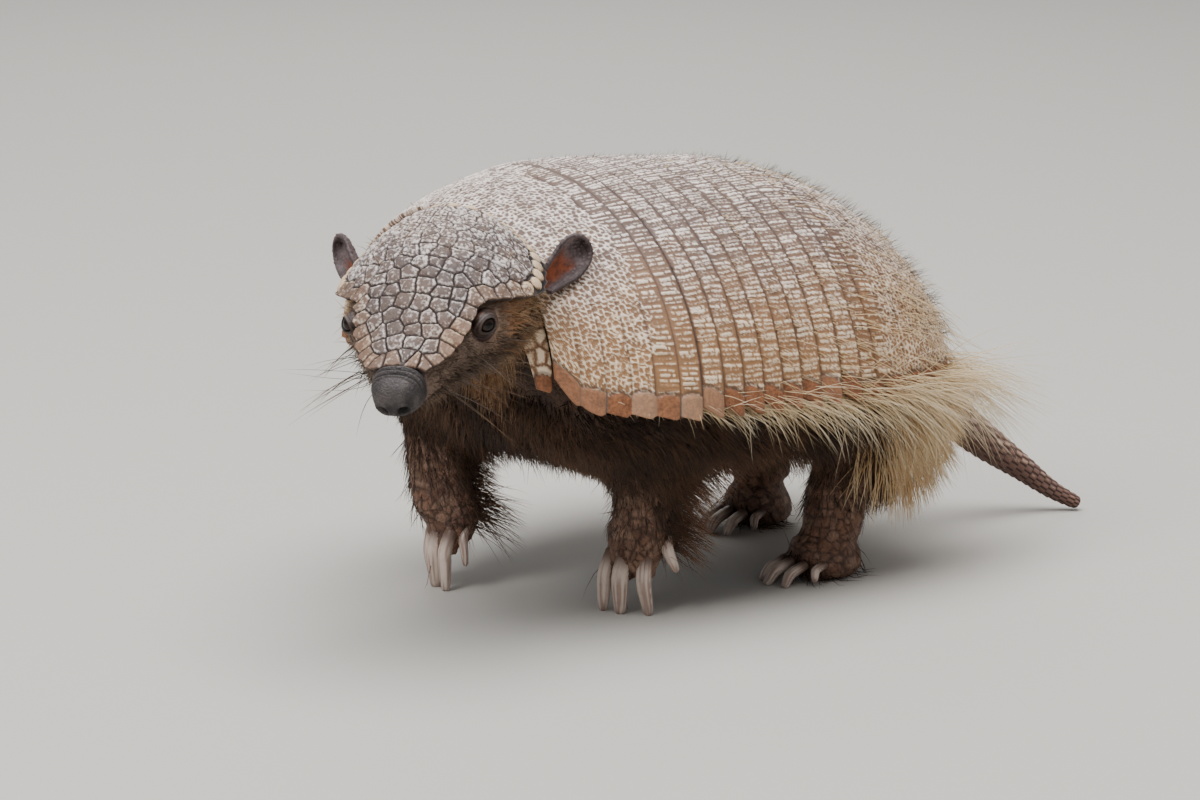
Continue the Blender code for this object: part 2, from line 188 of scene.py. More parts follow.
class SmoothCurve:
    """A smooth function through knots (x, values ...), without overshoot."""

    def __init__(self, knots: Knots) -> None:
        """Works out the tangents; each knot is x and one or more values.

        Args:
            knots: rows of x and one or more values.
        """
        table = np.array(knots, float)
        self.xs, self.ys = table[:, 0], table[:, 1:]
        slope = np.diff(self.ys, axis=0) / np.diff(self.xs)[:, None]
        tangent = np.vstack([slope[:1], np.zeros_like(slope[1:]), slope[-1:]])
        same_way = slope[:-1] * slope[1:] > 0
        total = np.where(same_way, slope[:-1] + slope[1:], 1)
        tangent[1:-1] = np.where(same_way, 2 * slope[:-1] * slope[1:] / total, 0)
        self.tangent = tangent

    def __call__(self, x: Array | float) -> Array:
        """The values at x.

        Args:
            x: one number or an array of them.

        Returns:
            One value for each x, or one row of values where the knots hold several.
        """
        x = np.clip(np.asarray(x, float), self.xs[0], self.xs[-1])
        i = np.clip(np.searchsorted(self.xs, x, side="right") - 1, 0, len(self.xs) - 2)
        width = (self.xs[i + 1] - self.xs[i])[..., None]
        t = (x - self.xs[i])[..., None] / width
        found = (
            (2 * t**3 - 3 * t**2 + 1) * self.ys[i]
            + (t**3 - 2 * t**2 + t) * width * self.tangent[i]
            + (3 * t**2 - 2 * t**3) * self.ys[i + 1]
            + (t**3 - t**2) * width * self.tangent[i + 1]
        )
        return found[..., 0] if self.ys.shape[1] == 1 else found


class Scutes:
    """Bony scutes, each reaching halfway to the centres of its neighbours."""

    def __init__(self, centres: Array) -> None:
        """Sorts the centres, in mm, for searching."""
        self.centres = centres
        self.tree = tree_of(centres)

    def at(self, points: Array) -> tuple[Array, Array]:
        """Which scute holds each point.

        Args:
            points: places on the surface in mm.

        Returns:
            The distance to the scute's edge in mm, and the scute's index.
        """
        pairs = np.empty((len(points), 2), int)
        for row, point in enumerate(points):
            nearest, following = self.tree.find_n(point, 2)
            pairs[row] = nearest[1], following[1]
        near, other = self.centres[pairs[:, 0]], self.centres[pairs[:, 1]]
        apart = np.maximum(np.linalg.norm(other - near, axis=1), 1e-6)
        gap = ((points - other) ** 2).sum(axis=1) - ((points - near) ** 2).sum(axis=1)
        return gap / (2 * apart), pairs[:, 0]


# --- the animal's form ---------------------------------------------------------------------


@dataclass(frozen=True)
class ShellForm:
    """The smooth surface of the carapace, by station y and by t, from -1 to 1 round it."""

    front: float = -106.0
    rear: float = 119.5
    hip: float = 10.0
    pole: float = 123.5
    dome: tuple[float, float, float] = (2.4, 2.2, 1.7)
    fan_power: float = 2.3
    half_width: SmoothCurve = SmoothCurve([(-115, 66), (-85, 82), (-50, 94.5), (10, 88.5)])
    crest: SmoothCurve = SmoothCurve([(-115, 158), (-85, 168), (-50, 172.5), (10, 168)])
    rim: SmoothCurve = SmoothCurve([(-115, 94), (-30, 85), (115, 77)])
    fan: SmoothCurve = SmoothCurve([(-115, -3), (-45, -2), (40, 1.5), (123.5, 0)])

    def bare(self, y: Array, t: Array) -> Array:
        """Points of the surface.

        Args:
            y: stations along the midline.
            t: places round it, -1 at the right rim and 1 at the left one.

        Returns:
            One row of x, y and z for each pair.
        """
        along, across, up = self.dome
        s = np.clip((y - self.hip) / (self.pole - self.hip), 0.0, 1.0)
        width = self.half_width(y) * (1 - s**along) ** (1 / across)
        rim = self.rim(y)
        height = (self.crest(y) - rim) * np.sqrt(1 - s**up)
        turn = t * math.pi / 2
        lead = self.fan(y) * np.abs(t) ** self.fan_power
        return np.stack([width * np.sin(turn), y + lead, rim + height * np.cos(turn)], axis=-1)

    def normal(self, y: Array, t: Array) -> Array:
        """Outward normals of the surface, for the same values as bare.

        Args:
            y: stations along the body.
            t: places round the shell, from -1 to 1.

        Returns:
            One normal for each pair.
        """
        before = np.maximum(y - 0.5, self.front - 20)
        after = np.minimum(y + 0.5, self.pole - 1)
        along = self.bare(after, t) - self.bare(before, t)
        across = self.bare(y, np.minimum(t + 0.01, 1)) - self.bare(y, np.maximum(t - 0.01, -1))
        return unit(np.cross(across, along))

    def girth(self, y: float) -> tuple[Array, Array]:
        """The way round the shell at one station: t, and the run from the right rim in mm."""
        t = np.linspace(-1.0, 1.0, 257)
        return t, running(steps_along(self.bare(np.full_like(t, y), t)))

    def rim_distance(self, y: Array, t: Array) -> Array:
        """How far each point is from the nearer rim, round the shell, in mm.

        Args:
            y: stations, of which many are the same.
            t: places round the shell.

        Returns:
            One distance for each pair.
        """
        found = np.empty_like(t)
        stations, rows = np.unique(np.round(y, 3), return_inverse=True)
        for index, station in enumerate(stations):
            turns, run = self.girth(float(station))
            chosen = rows == index
            here = np.interp(t[chosen], turns, run)
            found[chosen] = np.minimum(here, run[-1] - here)
        return found

    def spread(self, y: float, spacing: float, shift: float) -> Array:
        """The t of points spread evenly round the shell at one station.

        Args:
            y: the station.
            spacing: about how far apart they are in mm.
            shift: how far all of them are moved round, as a share of the spacing.

        Returns:
            The values of t.
        """
        turns, run = self.girth(y)
        count = max(2, round(run[-1] / spacing))
        return np.interp((np.arange(count) + 0.5 + shift) * run[-1] / count, run, turns)


@dataclass(frozen=True)
class HeadPose:
    """Where the head's own frame stands: -Y towards the nose, from the back of the skull."""

    at: tuple[float, float, float] = (26.6, -122.7, 144.3)
    yaw: float = 37.5
    pitch: float = 18.3
    roll: float = -2.9

    def turn(self) -> Array:
        """The rotation from the head's frame to the body's.

        Returns:
            A matrix of three rows.
        """
        yaw = Matrix.Rotation(math.radians(self.yaw), 3, "Z")
        pitch = Matrix.Rotation(math.radians(self.pitch), 3, "X")
        roll = Matrix.Rotation(math.radians(self.roll), 3, "Y")
        return np.array(yaw @ pitch @ roll)

    def to_body(self, local: Array) -> Array:
        """Moves points of the head's frame into the body's."""
        return local @ self.turn().T + np.array(self.at)

    def way_to_body(self, local: Array) -> Array:
        """Turns directions of the head's frame into the body's."""
        return local @ self.turn().T

    def to_local(self, points: Array) -> Array:
        """Moves points of the body's frame into the head's."""
        return (points - np.array(self.at)) @ self.turn()


class Limb:
    """A bent tube: a leg, the neck, the tail or a claw."""

    def __init__(self, knots: Knots) -> None:
        """Keeps the knots: share of the length, x, y, z, radius across and radius along."""
        self.curve = SmoothCurve(knots)

    def axes(self, t: Array) -> tuple[Array, Array, Array]:
        """The directions along, across and out of the bend at each share of the length.

        Args:
            t: shares of the length.

        Returns:
            Three arrays of directions.
        """
        ahead = self.curve(np.minimum(t + 0.03, 1.0))[:, :3]
        behind = self.curve(np.maximum(t - 0.03, 0.0))[:, :3]
        along = unit(ahead - behind)
        side = np.array((1.0, 0.0, 0.0))
        across = unit(side - along * (along @ side)[:, None])
        return along, across, np.cross(along, across)

    def skin(self, t: Array, turn: Array, share: Array | float = 1.0) -> Array:
        """Points on the tube's skin.

        Args:
            t: shares of the length.
            turn: shares of the way round.
            share: how large the tube is there, against its full size.

        Returns:
            One row for each point.
        """
        here = self.curve(t)
        _, across, out = self.axes(t)
        angle = 2 * math.pi * turn
        wide = (here[:, 3] * share * np.cos(angle))[:, None]
        deep = (here[:, 4] * share * np.sin(angle))[:, None]
        return here[:, :3] + across * wide + out * deep

    def nearest(self, points: Array) -> tuple[Array, Array, Array]:
        """Where points lie along the tube.

        Args:
            points: places in mm.

        Returns:
            The share of the length, the distance from the axis over the tube's radius, and the
            share of the way round.
        """
        shares = np.linspace(0.0, 1.0, 41)
        rows = self.curve(shares)
        away = np.linalg.norm(points[:, None, :] - rows[None, :, :3], axis=2)
        best = away.argmin(axis=1)
        t = shares[best]
        _, across, out = self.axes(shares)
        offset = points - rows[best, :3]
        wide = (offset * across[best]).sum(axis=1)
        deep = (offset * out[best]).sum(axis=1)
        size = away[np.arange(len(points)), best] / rows[best, 3:].mean(axis=1)
        return t, size, np.arctan2(deep, wide) / (2 * math.pi) % 1.0


@dataclass(frozen=True)
class Foot:
    """A foot on the ground with the roots, tips and widths of its claws."""

    name: str
    side: int
    front: bool
    ground: tuple[float, float]
    heading: float

    def place(self, points: Array) -> Array:
        """Moves points of a left foot's own frame to where this foot stands.

        Args:
            points: places in mm.

        Returns:
            The moved points.
        """
        turned = points * np.array((self.side, 1, 1))
        angle = math.radians(self.heading)
        rotation = np.array(Matrix.Rotation(angle, 3, "Z"))
        return turned @ rotation.T + np.array((*self.ground, 0.0))

    def claws(self) -> Sequence[tuple]:
        """The root, the tip and the width of each claw, in a left foot's frame."""
        return FRONT_CLAWS if self.front else HIND_CLAWS

    def pad(self) -> tuple[tuple[float, ...], tuple[float, ...]]:
        """The centre and the half sizes of the foot's body."""
        return FRONT_PAD if self.front else HIND_PAD


FRONT_PAD = ((0, -1, 30), (13.5, 10.5, 16))
FRONT_CLAWS = [
    ((-10, 1, 27), (-14.5, -4, 10), 4.2),
    ((-8, -6, 25), (-9.5, -10.5, -0.8), 6.2),
    ((-0.5, -6, 25), (-1, -9.5, -0.8), 7.4),
    ((7.5, -3.5, 26), (9, -3.5, -0.8), 6.6),
    ((11, 3.5, 35), (16.5, 4.5, 17), 5.4),
]
HIND_PAD = ((0, 0, 6), (13, 18, 16))
HIND_CLAWS = [
    ((-10.5, -6, 8), (-14, -14.5, 2), 4.0),
    ((-6.5, -12.5, 8), (-7.8, -25, -0.4), 5.0),
    ((0, -14, 8.5), (0, -28, -0.4), 5.4),
    ((6.5, -12.5, 8), (7.8, -24.5, -0.4), 5.0),
    ((10.5, -6, 8), (14, -13.5, 2), 4.0),
]
MERGE = 0.02  # how near vertices are merged
CLAW_BOW = 2.2  # how far the middle of a claw stands ahead of its chord
FEET = [
    Foot("front_left", 1, True, (47, -49), 8), Foot("front_right", -1, True, (-34, -80), -2),
    Foot("hind_left", 1, False, (50, 44), -6), Foot("hind_right", -1, False, (-38.5, 82), 4),
]
LEGS = {
    "front_left": Limb([
        (0.0, 55, -66, 100, 22, 25),
        (0.42, 58, -56, 68, 19, 21),
        (0.76, 53, -50, 44, 13.5, 14),
        (1.0, 48, -49, 28, 11.5, 12),
    ]),
    "front_right": Limb([
        (0.0, -50, -64, 100, 20, 22),
        (0.42, -48, -76, 68, 19, 19),
        (0.76, -38, -83, 44, 14.5, 14),
        (1.0, -35, -83, 28, 12, 12),
    ]),
    "hind_left": Limb([
        (0.0, 41, 72, 98, 14, 18),
        (0.25, 47, 72, 80, 16, 24),
        (0.5, 54, 67, 57, 18, 28),
        (0.78, 53, 49, 37, 12.5, 14),
        (1.0, 50, 48, 16, 11.5, 12.5),
    ]),
    "hind_right": Limb([
        (0.0, -38, 76, 98, 13, 15),
        (0.25, -42, 78, 80, 15, 18),
        (0.5, -48, 82, 57, 18, 25),
        (0.78, -43, 86, 37, 12.5, 14),
        (1.0, -39, 87, 16, 11.5, 12.5),
    ]),
}
TAIL = Limb([
    (0.0, 0, 104, 88, 13, 12),
    (0.22, 1.5, 128, 69, 11, 10.5),
    (0.38, 3.5, 147, 50.5, 9, 8.8),
    (0.56, 8, 167, 33.5, 7.5, 7.5),
    (0.75, 14, 185, 19.5, 5.4, 5.4),
    (0.9, 21, 198, 8.5, 3.7, 3.7),
    (1.0, 27.5, 207, 2.6, 2.7, 2.7),
])
NECK = Limb([
    (0.0, -2, -90, 123, 52, 34),
    (0.5, 8, -110, 129, 43, 29),
    (1.0, 30, -131, 140, 30, 20),
])
SHELL = ShellForm()
HEAD = HeadPose()


# --- meshes --------------------------------------------------------------------------------


@contextmanager
def edited(mesh: Mesh) -> Iterator[Parts]:
    """The mesh's parts for editing; the mesh takes them over at the end.

    Args:
        mesh: the mesh.

    Yields:
        The parts.
    """
    bm = bmesh.new()
    bm.from_mesh(mesh)
    bm.verts.ensure_lookup_table()
    yield bm
    bm.to_mesh(mesh)
    bm.free()


def read(items: Any, name: str, width: int = 3, kind: type = float) -> Array:
    """What a mesh's items hold under a name: rows of width numbers.

    Args:
        items: the mesh's vertices, corners or the like.
        name: what to read.
        width: how many numbers each item holds.
        kind: the kind of number.

    Returns:
        One row for each item.
    """
    found = np.empty(len(items) * width, kind)
    items.foreach_get(name, found)
    return found.reshape(-1, width)


def vertices_of(mesh: Mesh) -> Array:
    """The mesh's vertices in mm from the body's own origin."""
    return read(mesh.vertices, "co") / MM + BODY_ORIGIN


def place_vertices(mesh: Mesh, points: Array) -> None:
    """Puts the mesh's vertices at points in mm from the body's own origin."""
    mesh.vertices.foreach_set("co", ((points - BODY_ORIGIN) * MM).ravel())
    mesh.update()


def normals_of(mesh: Mesh) -> Array:
    """The mesh's vertex normals."""
    return read(mesh.vertex_normals, "vector")


def linked(name: str, data: Any) -> Piece:
    """A new object in the scene that shows the data.

    Args:
        name: its name.
        data: what it shows.

    Returns:
        The object.
    """
    made = bpy.data.objects.new(name, data)
    bpy.context.scene.collection.objects.link(made)
    return made


def mark(mesh: Mesh, **values: Array) -> None:
    """Stores numbers on the vertices, for the finishes to read.

    Args:
        mesh: the mesh.
        values: an array for each attribute's name.
    """
    for name, numbers in values.items():
        layer = mesh.attributes.new(name, "FLOAT", "POINT")
        layer.data.foreach_set("value", np.ascontiguousarray(numbers, np.float32))


def marked(mesh: Mesh, name: str) -> Array:
    """The numbers stored on the vertices under a name."""
    return read(mesh.attributes[name].data, "value", 1)[:, 0]


def finished(mesh: Mesh, name: str, slot: str, look: Material, *nodes: str) -> Piece:
    """Links a mesh as a piece of the animal.

    Args:
        mesh: the piece's mesh.
        name: the piece's name.
        slot: a material slot's name, which is not used.
        look: the piece's finish.
        nodes: the frame's nodes that the piece stands for.

    Returns:
        The new object.
    """
    mesh.name = name
    mesh.shade_smooth()
    mesh.materials.clear()
    mesh.materials.append(look)
    piece = linked(name, mesh)
    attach(piece, "root")
    if nodes:
        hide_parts(*nodes)
    log.info("%s: %d faces", name, len(mesh.polygons))
    return piece


class Sheet:
    """A grid of quads over the unit square, which arrays lay out in space."""

    def __init__(self, name: str, along: int, around: int) -> None:
        """Makes the flat grid.

        Args:
            name: the mesh's name.
            along: how many quads there are along u.
            around: how many there are along v.
        """
        self.mesh = bpy.data.meshes.new(name)
        with edited(self.mesh) as bm:
            bmesh.ops.create_grid(bm, x_segments=along, y_segments=around, size=0.5)
        self.u, self.v = read(self.mesh.vertices, "co")[:, :2].T + 0.5

    def lay(self, points: Array) -> None:
        """Puts the grid's vertices at points in mm."""
        place_vertices(self.mesh, points)

    def close(self) -> None:
        """Merges edges that meet and turns the faces outwards."""
        with edited(self.mesh) as bm:
            bmesh.ops.remove_doubles(bm, verts=bm.verts, dist=MERGE * MM)
            bmesh.ops.recalc_face_normals(bm, faces=bm.faces)


class RimmedSheet(Sheet):
    """A sheet with a face and, outside it, rings that turn over the plate's edge."""

    def __init__(self, name: str, along: int, around: int, edge: Edge) -> None:
        """Makes the flat grid.

        Args:
            name: the mesh's name.
            along: how many quads the face has along u.
            around: how many it has along v.
            edge: from the outermost ring inwards: how deep it lies and how far it is tucked in.
        """
        rings = len(edge)
        super().__init__(name, along + 2 * rings, around + 2 * rings)
        i = np.rint(self.u * (along + 2 * rings)) - rings
        j = np.rint(self.v * (around + 2 * rings)) - rings
        self.row, self.column = i.clip(0, along), j.clip(0, around)
        self.lengthways, self.sideways = np.sign(i - self.row), np.sign(j - self.column)
        self.outside = np.maximum(np.abs(i - self.row), np.abs(j - self.column)).astype(int)
        self.depth, self.tuck = np.array([(0.0, 0.0), *reversed(edge)]).T[:, self.outside]


# --- finishes ------------------------------------------------------------------------------


def number_node(operation: str, swapped: bool = False) -> Callable[["Value", Any], "Value"]:
    """An operator of shader sockets: one Math node on the socket and another value.

    Args:
        operation: the node's operation.
        swapped: whether the other value comes first.

    Returns:
        The operator.
    """

    def apply(self: "Value", other: Any) -> "Value":
        """The node's result."""
        first, second = (other, self) if swapped else (self, other)
        return self.maker.node("ShaderNodeMath", {"operation": operation}, {0: first, 1: second})

    return apply


class Value:
    """A shader socket that can be used in sums."""

    __add__ = __radd__ = number_node("ADD")
    __sub__ = number_node("SUBTRACT")
    __rsub__ = number_node("SUBTRACT", swapped=True)
    __mul__ = __rmul__ = number_node("MULTIPLY")

    def __init__(self, maker: "Shading", socket: bpy.types.NodeSocket) -> None:
        """Keeps the socket and the tree that it belongs to."""
        self.maker = maker
        self.socket = socket

    def clipped(self) -> "Value":
        """The same number, kept between 0 and 1."""
        return self.maker.node("ShaderNodeClamp", {}, {"Value": self})

    def between(self, low: float, high: float) -> "Value":
        """How far the number has come from low to high, smoothly, from 0 to 1.

        Args:
            low: where it starts.
            high: where it ends.

        Returns:
            The share.
        """
        sockets = {"Value": self, "From Min": low, "From Max": high}
        settings = {"interpolation_type": "SMOOTHSTEP"}
        return self.maker.node("ShaderNodeMapRange", settings, sockets)


class Shading:
    """The node tree of one material."""

    def __init__(self, name: str) -> None:
        """Starts a material of one Principled shader.

        Args:
            name: the material's name.
        """
        self.material = bpy.data.materials.new(name)
        self.material.use_nodes = True
        self.tree = self.material.node_tree
        self.shader = self.tree.nodes["Principled BSDF"]

    def feed(self, socket: bpy.types.NodeSocket, value: Any) -> None:
        """Links a value to a socket, or sets the socket to it.

        Args:
            socket: the socket.
            value: a number, a colour or another socket's value.
        """
        if isinstance(value, Value):
            self.tree.links.new(value.socket, socket)
        else:
            socket.default_value = value

    def node(
        self, kind: str, settings: dict[str, Any], sockets: dict[Any, Any], output: Any = 0
    ) -> Value:
        """Adds a node.

        Args:
            kind: the node's type.
            settings: its properties.
            sockets: values or links for its inputs.
            output: the output that is wanted.

        Returns:
            That output.
        """
        made = self.tree.nodes.new(kind)
        for name, setting in settings.items():
            setattr(made, name, setting)
        for name, value in sockets.items():
            self.feed(made.inputs[name], value)
        return Value(self, made.outputs[output])

    def mark(self, name: str) -> Value:
        """The number that the mesh stores under a name."""
        return self.node("ShaderNodeAttribute", {"attribute_name": name}, {}, "Fac")

    def place(self) -> Value:
        """The place on the piece, in metres."""
        return self.node("ShaderNodeTexCoord", {}, {}, "Object")

    def noise(self, size: float, detail: float = 3.0) -> Value:
        """Noise from 0 to 1 whose patches are about size mm wide."""
        sockets = {"Vector": self.place(), "Scale": 1 / (size * MM), "Detail": detail}
        return self.node("ShaderNodeTexNoise", {}, sockets, "Fac")

    def cells(self, size: float, feature: str = "F1") -> Value:
        """The distance field of cells about size mm wide."""
        sockets = {"Vector": self.place(), "Scale": 1 / (size * MM)}
        return self.node("ShaderNodeTexVoronoi", {"feature": feature}, sockets, "Distance")

    def blend(self, share: Any, first: Any, second: Any, kind: str = "MIX") -> Value:
        """A colour between two, by share."""
        settings = {"data_type": "RGBA", "blend_type": kind}
        return self.node("ShaderNodeMix", settings, {0: share, 6: first, 7: second}, 2)

    def mottle(self, size: float, first: Any, second: Any) -> Value:
        """Two colours in soft patches about size mm wide."""
        return self.blend(self.noise(size).between(0.35, 0.7), first, second)

    def shade(self, share: Any, colour: Any, dark: float) -> Value:
        """The colour, multiplied by dark where share is 1."""
        return self.blend(share, colour, (dark, dark, dark, 1.0), "MULTIPLY")

    def bump(self, height: Value, depth: float, strength: float = 1.0) -> Value:
        """A normal from a height of 0 to 1, depth mm deep."""
        sockets = {"Height": height, "Distance": depth * MM, "Strength": strength}
        return self.node("ShaderNodeBump", {}, sockets, "Normal")

    def dress(
        self, colour: Any, roughness: Any, normal: Value | None = None, specular: float = 0.5
    ) -> Material:
        """Feeds the shader and gives the material back.

        Args:
            colour: the base colour.
            roughness: the roughness.
            normal: the normal, if it is bumped.
            specular: the strength of the plain gloss.

        Returns:
            The finished material.
        """
        wanted = {"Base Color": colour, "Roughness": roughness, "Specular IOR Level": specular}
        if normal is not None:
            wanted["Normal"] = normal
        for name, value in wanted.items():
            self.feed(self.shader.inputs[name], value)
        return self.material


@dataclass(frozen=True)
class BoneFinish:
    """Worn scutes: pale ridges, darker hollows, dark joints with painted shade, warmer down the
    flanks.
    """

    name: str
    pale: Colour = tint(252, 237, 226)
    pale_warm: Colour = tint(250, 224, 190)
    hollow: Colour = tint(114, 92, 82)
    hollow_warm: Colour = tint(168, 124, 85)
    joint: Colour = tint(52, 42, 46)
    margin: Colour = tint(164, 106, 70)
    fleck_size: float = 1.0

    def build(self) -> Material:
        """Makes the material.

        Returns:
            The material.
        """
        s = Shading(self.name)
        warm = (s.mark("warm") + (s.noise(16) - 0.5) * 0.8).clipped()
        speck = s.noise(self.fleck_size, 4.0)
        # ridge makes the bone paler; on the tail it also holds a painted highlight on the upper
        # side
        ridge = (s.mark("ridge") + (speck - 0.5) * 1.1).between(0.2, 0.8)
        tone = s.mark("tone")
        pale = s.blend(warm, self.pale, self.pale_warm)
        hollow = s.blend(warm, self.hollow, self.hollow_warm)
        colour = s.blend(ridge, hollow, pale)
        horn = s.shade(speck.between(0.36, 0.64), self.margin, 0.66)
        horn = s.shade(s.noise(3.4).between(0.42, 0.64) * 0.7, horn, 0.6)
        horn = s.blend(s.mark("ridge").between(0.4, 1.0) * 0.4, horn, self.pale_warm)
        colour = s.blend(s.mark("margin"), colour, horn)
        colour = s.shade(((1 - tone) * 0.5).clipped(), colour, 0.6)
        colour = s.shade(s.noise(9).between(0.5, 0.8) * 0.35, colour, 0.6)
        # gap: the dark joints between scutes, plus painted shade at band and shield edges,
        # turned-under rims and the tail's underside
        colour = s.blend(s.mark("gap"), colour, self.joint)
        rough = 0.62 - s.mark("margin") * 0.12 - ridge * 0.08 + s.mark("gap") * 0.2
        height = speck + s.noise(0.45, 2.0) * 0.5 + s.noise(2.6) * s.mark("margin") * 3.0
        return s.dress(colour, rough, s.bump(height, 0.18, 0.9), specular=0.4)


# --- carapace ------------------------------------------------------------------------------


class Pattern(Enum):
    """How the scutes of a plate are laid."""

    NET = "small hollows in a net of ridges"
    DASHES = "long narrow ridges along the body"
    RUMP = "short ridges that turn into a net"
    COLLAR = "one row of tall scutes"


@dataclass
class Relief:
    """What the scutes do to a plate's surface, one number for each vertex."""

    height: Array
    ridge: Array
    # dark joints, and painted shade at the plates' edges
    gap: Array
    tone: Array
    margin: Array


@dataclass
class ArmourPlate:
    """A curved plate of the carapace with its scutes and its toothed rim."""

    name: str
    front: float
    rear: float
    pattern: Pattern
    reach: float = 1.0
    base: float = 0.0
    step: float = 0.0
    bite: float = 0.0
    corner: float = 0.0  # how far the lower front corners are rounded off, in t
    corner_long: float = 15.0
    taper: float = 0.0  # how much narrower the plate is at its lower ends
    margin_count: int = 1
    margin_size: float = 8.6
    tooth: float = 1.5
    grid: float = 0.6
    streak_pitch: float = 1.95
    rump_stretch: float = 1.35  # the way over the rump against its length along the body
    tones: tuple[tuple[int, int], int] = ((7, 31), 21)
    # from the outermost ring inwards: how deep it lies under the face, and how far it is tucked in
    edge: Edge = ((2.9, 2.2), (1.9, 0.2), (0.8, -0.15))

    def bends(self) -> bool:
        """Whether the plate closes over the rump."""
        return self.rear == SHELL.rear

    def long(self) -> float:
        """The way over the plate from front to rear, in mm."""
        return (self.rear - self.front) * (self.rump_stretch if self.bends() else 1.0)

    def edge_t(self, y: Array) -> Array:
        """Where the plate ends round the shell at each station.

        Args:
            y: stations along the body.

        Returns:
            One t for each station.
        """
        u = (y - self.front) / (self.rear - self.front)
        ahead = np.maximum(1 - (y - self.front) / self.corner_long, 0.0)
        return self.reach - self.bite * (1 - u) - self.corner * ahead**2

    def lay_out(self) -> tuple[RimmedSheet, Array, Array, Array]:
        """Makes the grid and finds each vertex's place on the plate.

        Returns:
            The grid, the shares of the plate's length, and the station and t on the shell.
        """
        along = max(6, round(self.long() / self.grid))
        _, run = SHELL.girth((self.front + self.rear) / 2)
        around = round(run[-1] * self.reach / self.grid)
        sheet = RimmedSheet(self.name, along, around, self.edge)
        u, v = sheet.row / along, sheet.column / around
        forward = np.sin(u * math.pi / 2) if self.bends() else u
        y = self.front + (self.rear - self.front) * forward
        t = (2 * v - 1) * self.edge_t(y)
        y = self.rear - (self.rear - y) * (1 - self.taper * np.abs(2 * v - 1) ** 4)
        return sheet, u, y, t

    def centres(self) -> Array:
        """The centres of the plate's small scutes, in mm.

        Returns:
            One row for each scute.
        """
        pitch, spacing = (5.0, 6.8) if self.pattern is Pattern.COLLAR else (2.1, 2.15)
        rows = max(1, round(self.long() / pitch))
        stations, turns = [], []
        for row in range(-1, rows + 1):
            share = (row + 0.5) / rows
            if self.bends():
                share = math.sin(min(max(share, 0.0), 1.0) * math.pi / 2)
            y = self.front + (self.rear - self.front) * share
            here = SHELL.spread(y, spacing, 0.25 if row % 2 else -0.25)
            turns.append(here)
            stations.append(np.full_like(here, y))
        y, t = np.concatenate(stations), np.concatenate(turns)
        keys = np.stack([np.round(y * 10), np.round(t * 1000)], axis=1)
        y = y + (chance(keys, 11) - 0.5) * pitch * 0.7
        t = np.clip(t + (chance(keys, 12) - 0.5) * spacing * 0.0045, -1, 1)
        return SHELL.bare(y, t)

    def streaks(self, rows: Array, around: Array, long: float) -> tuple[Array, Array]:
        """Long narrow ridges along the body, one beside another.

        Args:
            rows: places along the body, counted in rows of ridges.
            around: places round the shell in mm.
            long: how long a row is in mm.

        Returns:
            How high the ridges stand, from 0 to 1, and a steady random number for each.
        """
        seed = 300 + round(self.front)
        row = np.floor(rows)
        share = rows - row
        place = around / self.streak_pitch + 0.37 * row
        height, tone = np.zeros_like(rows), np.zeros_like(rows)
        for offset in (-1, 0, 1):
            number = np.floor(place) + offset
            cell = np.stack([number, row], axis=1)
            pick = chances(cell, seed, 6).T
            middle = number + 0.5 + 0.4 * (pick[0] - 0.5) + 0.6 * (pick[1] - 0.5) * (share - 0.5)
            side = (0.14 + 0.22 * pick[2] - np.abs(place - middle)) * self.streak_pitch
            ends = np.minimum(share - 0.22 * pick[3], 0.98 - 0.22 * pick[4] - share) * long
            split = np.abs(share - 0.25 - 0.5 * pick[5]) * long - 0.3
            mine = smoothstep(-0.3, 0.35, np.minimum(np.minimum(side, ends), split))
            mine *= 0.5 + 0.5 * pick[5]
            tone = np.where(mine > height, pick[1], tone)
            height = np.maximum(height, mine)
        return height, tone

    def net(self, points: Array) -> tuple[Array, Array]:
        """Small uneven hollows with ridges between them.

        Args:
            points: places on the shell in mm.

        Returns:
            How high the ridges stand, and a steady random number for each hollow.
        """
        edge, index = Scutes(self.centres()).at(points + 1.7 * sway(points, 3.2, 8))
        tone = scute_tone(index, *self.tones)
        ridge = 1 - smoothstep(0.02 + 0.2 * tone, 0.4 + 0.5 * tone, edge)
        return ridge * (0.45 + 0.55 * drift(points, 1.8, 14)), tone

    def small_scutes(self, y: Array, t: Array) -> Relief:
        """The relief of the plate's field, inside its margin.

        Args:
            y: the vertices' stations.
            t: their places round the shell.

        Returns:
            The relief.
        """
        points = SHELL.bare(y, t)
        turns, run = SHELL.girth((self.front + self.rear) / 2)
        around = np.interp(t, turns, run) + 1.1 * (drift(points, 5.0, 4) - 0.5)
        ahead = y - self.front
        behind = self.rear - y
        low = smoothstep(150, 120, points[:, 2])
        wander = 16 * (drift(points, 9.0, 6) - 0.5)
        if self.pattern is Pattern.COLLAR:
            edge, index = Scutes(self.centres()).at(points)
            tone = scute_tone(index, *self.tones)
            ridge = smoothstep(0.3, 1.6, edge) * (0.45 + 0.5 * tone)
            height = 0.9 * round_off(edge, 1.8) - 0.4
            gap = 0.65 * smoothstep(0.5, 0.1, edge)
            return Relief(height, 0.25 + 0.75 * ridge, gap, tone, np.zeros_like(edge))
        if self.pattern is Pattern.DASHES:
            ridge, tone = self.streaks(ahead / (self.rear - self.front), around, behind.max())
            ridge = np.maximum(ridge, 0.35 * drift(points, 2.0, 9)) * smoothstep(0.3, 1.4, ahead)
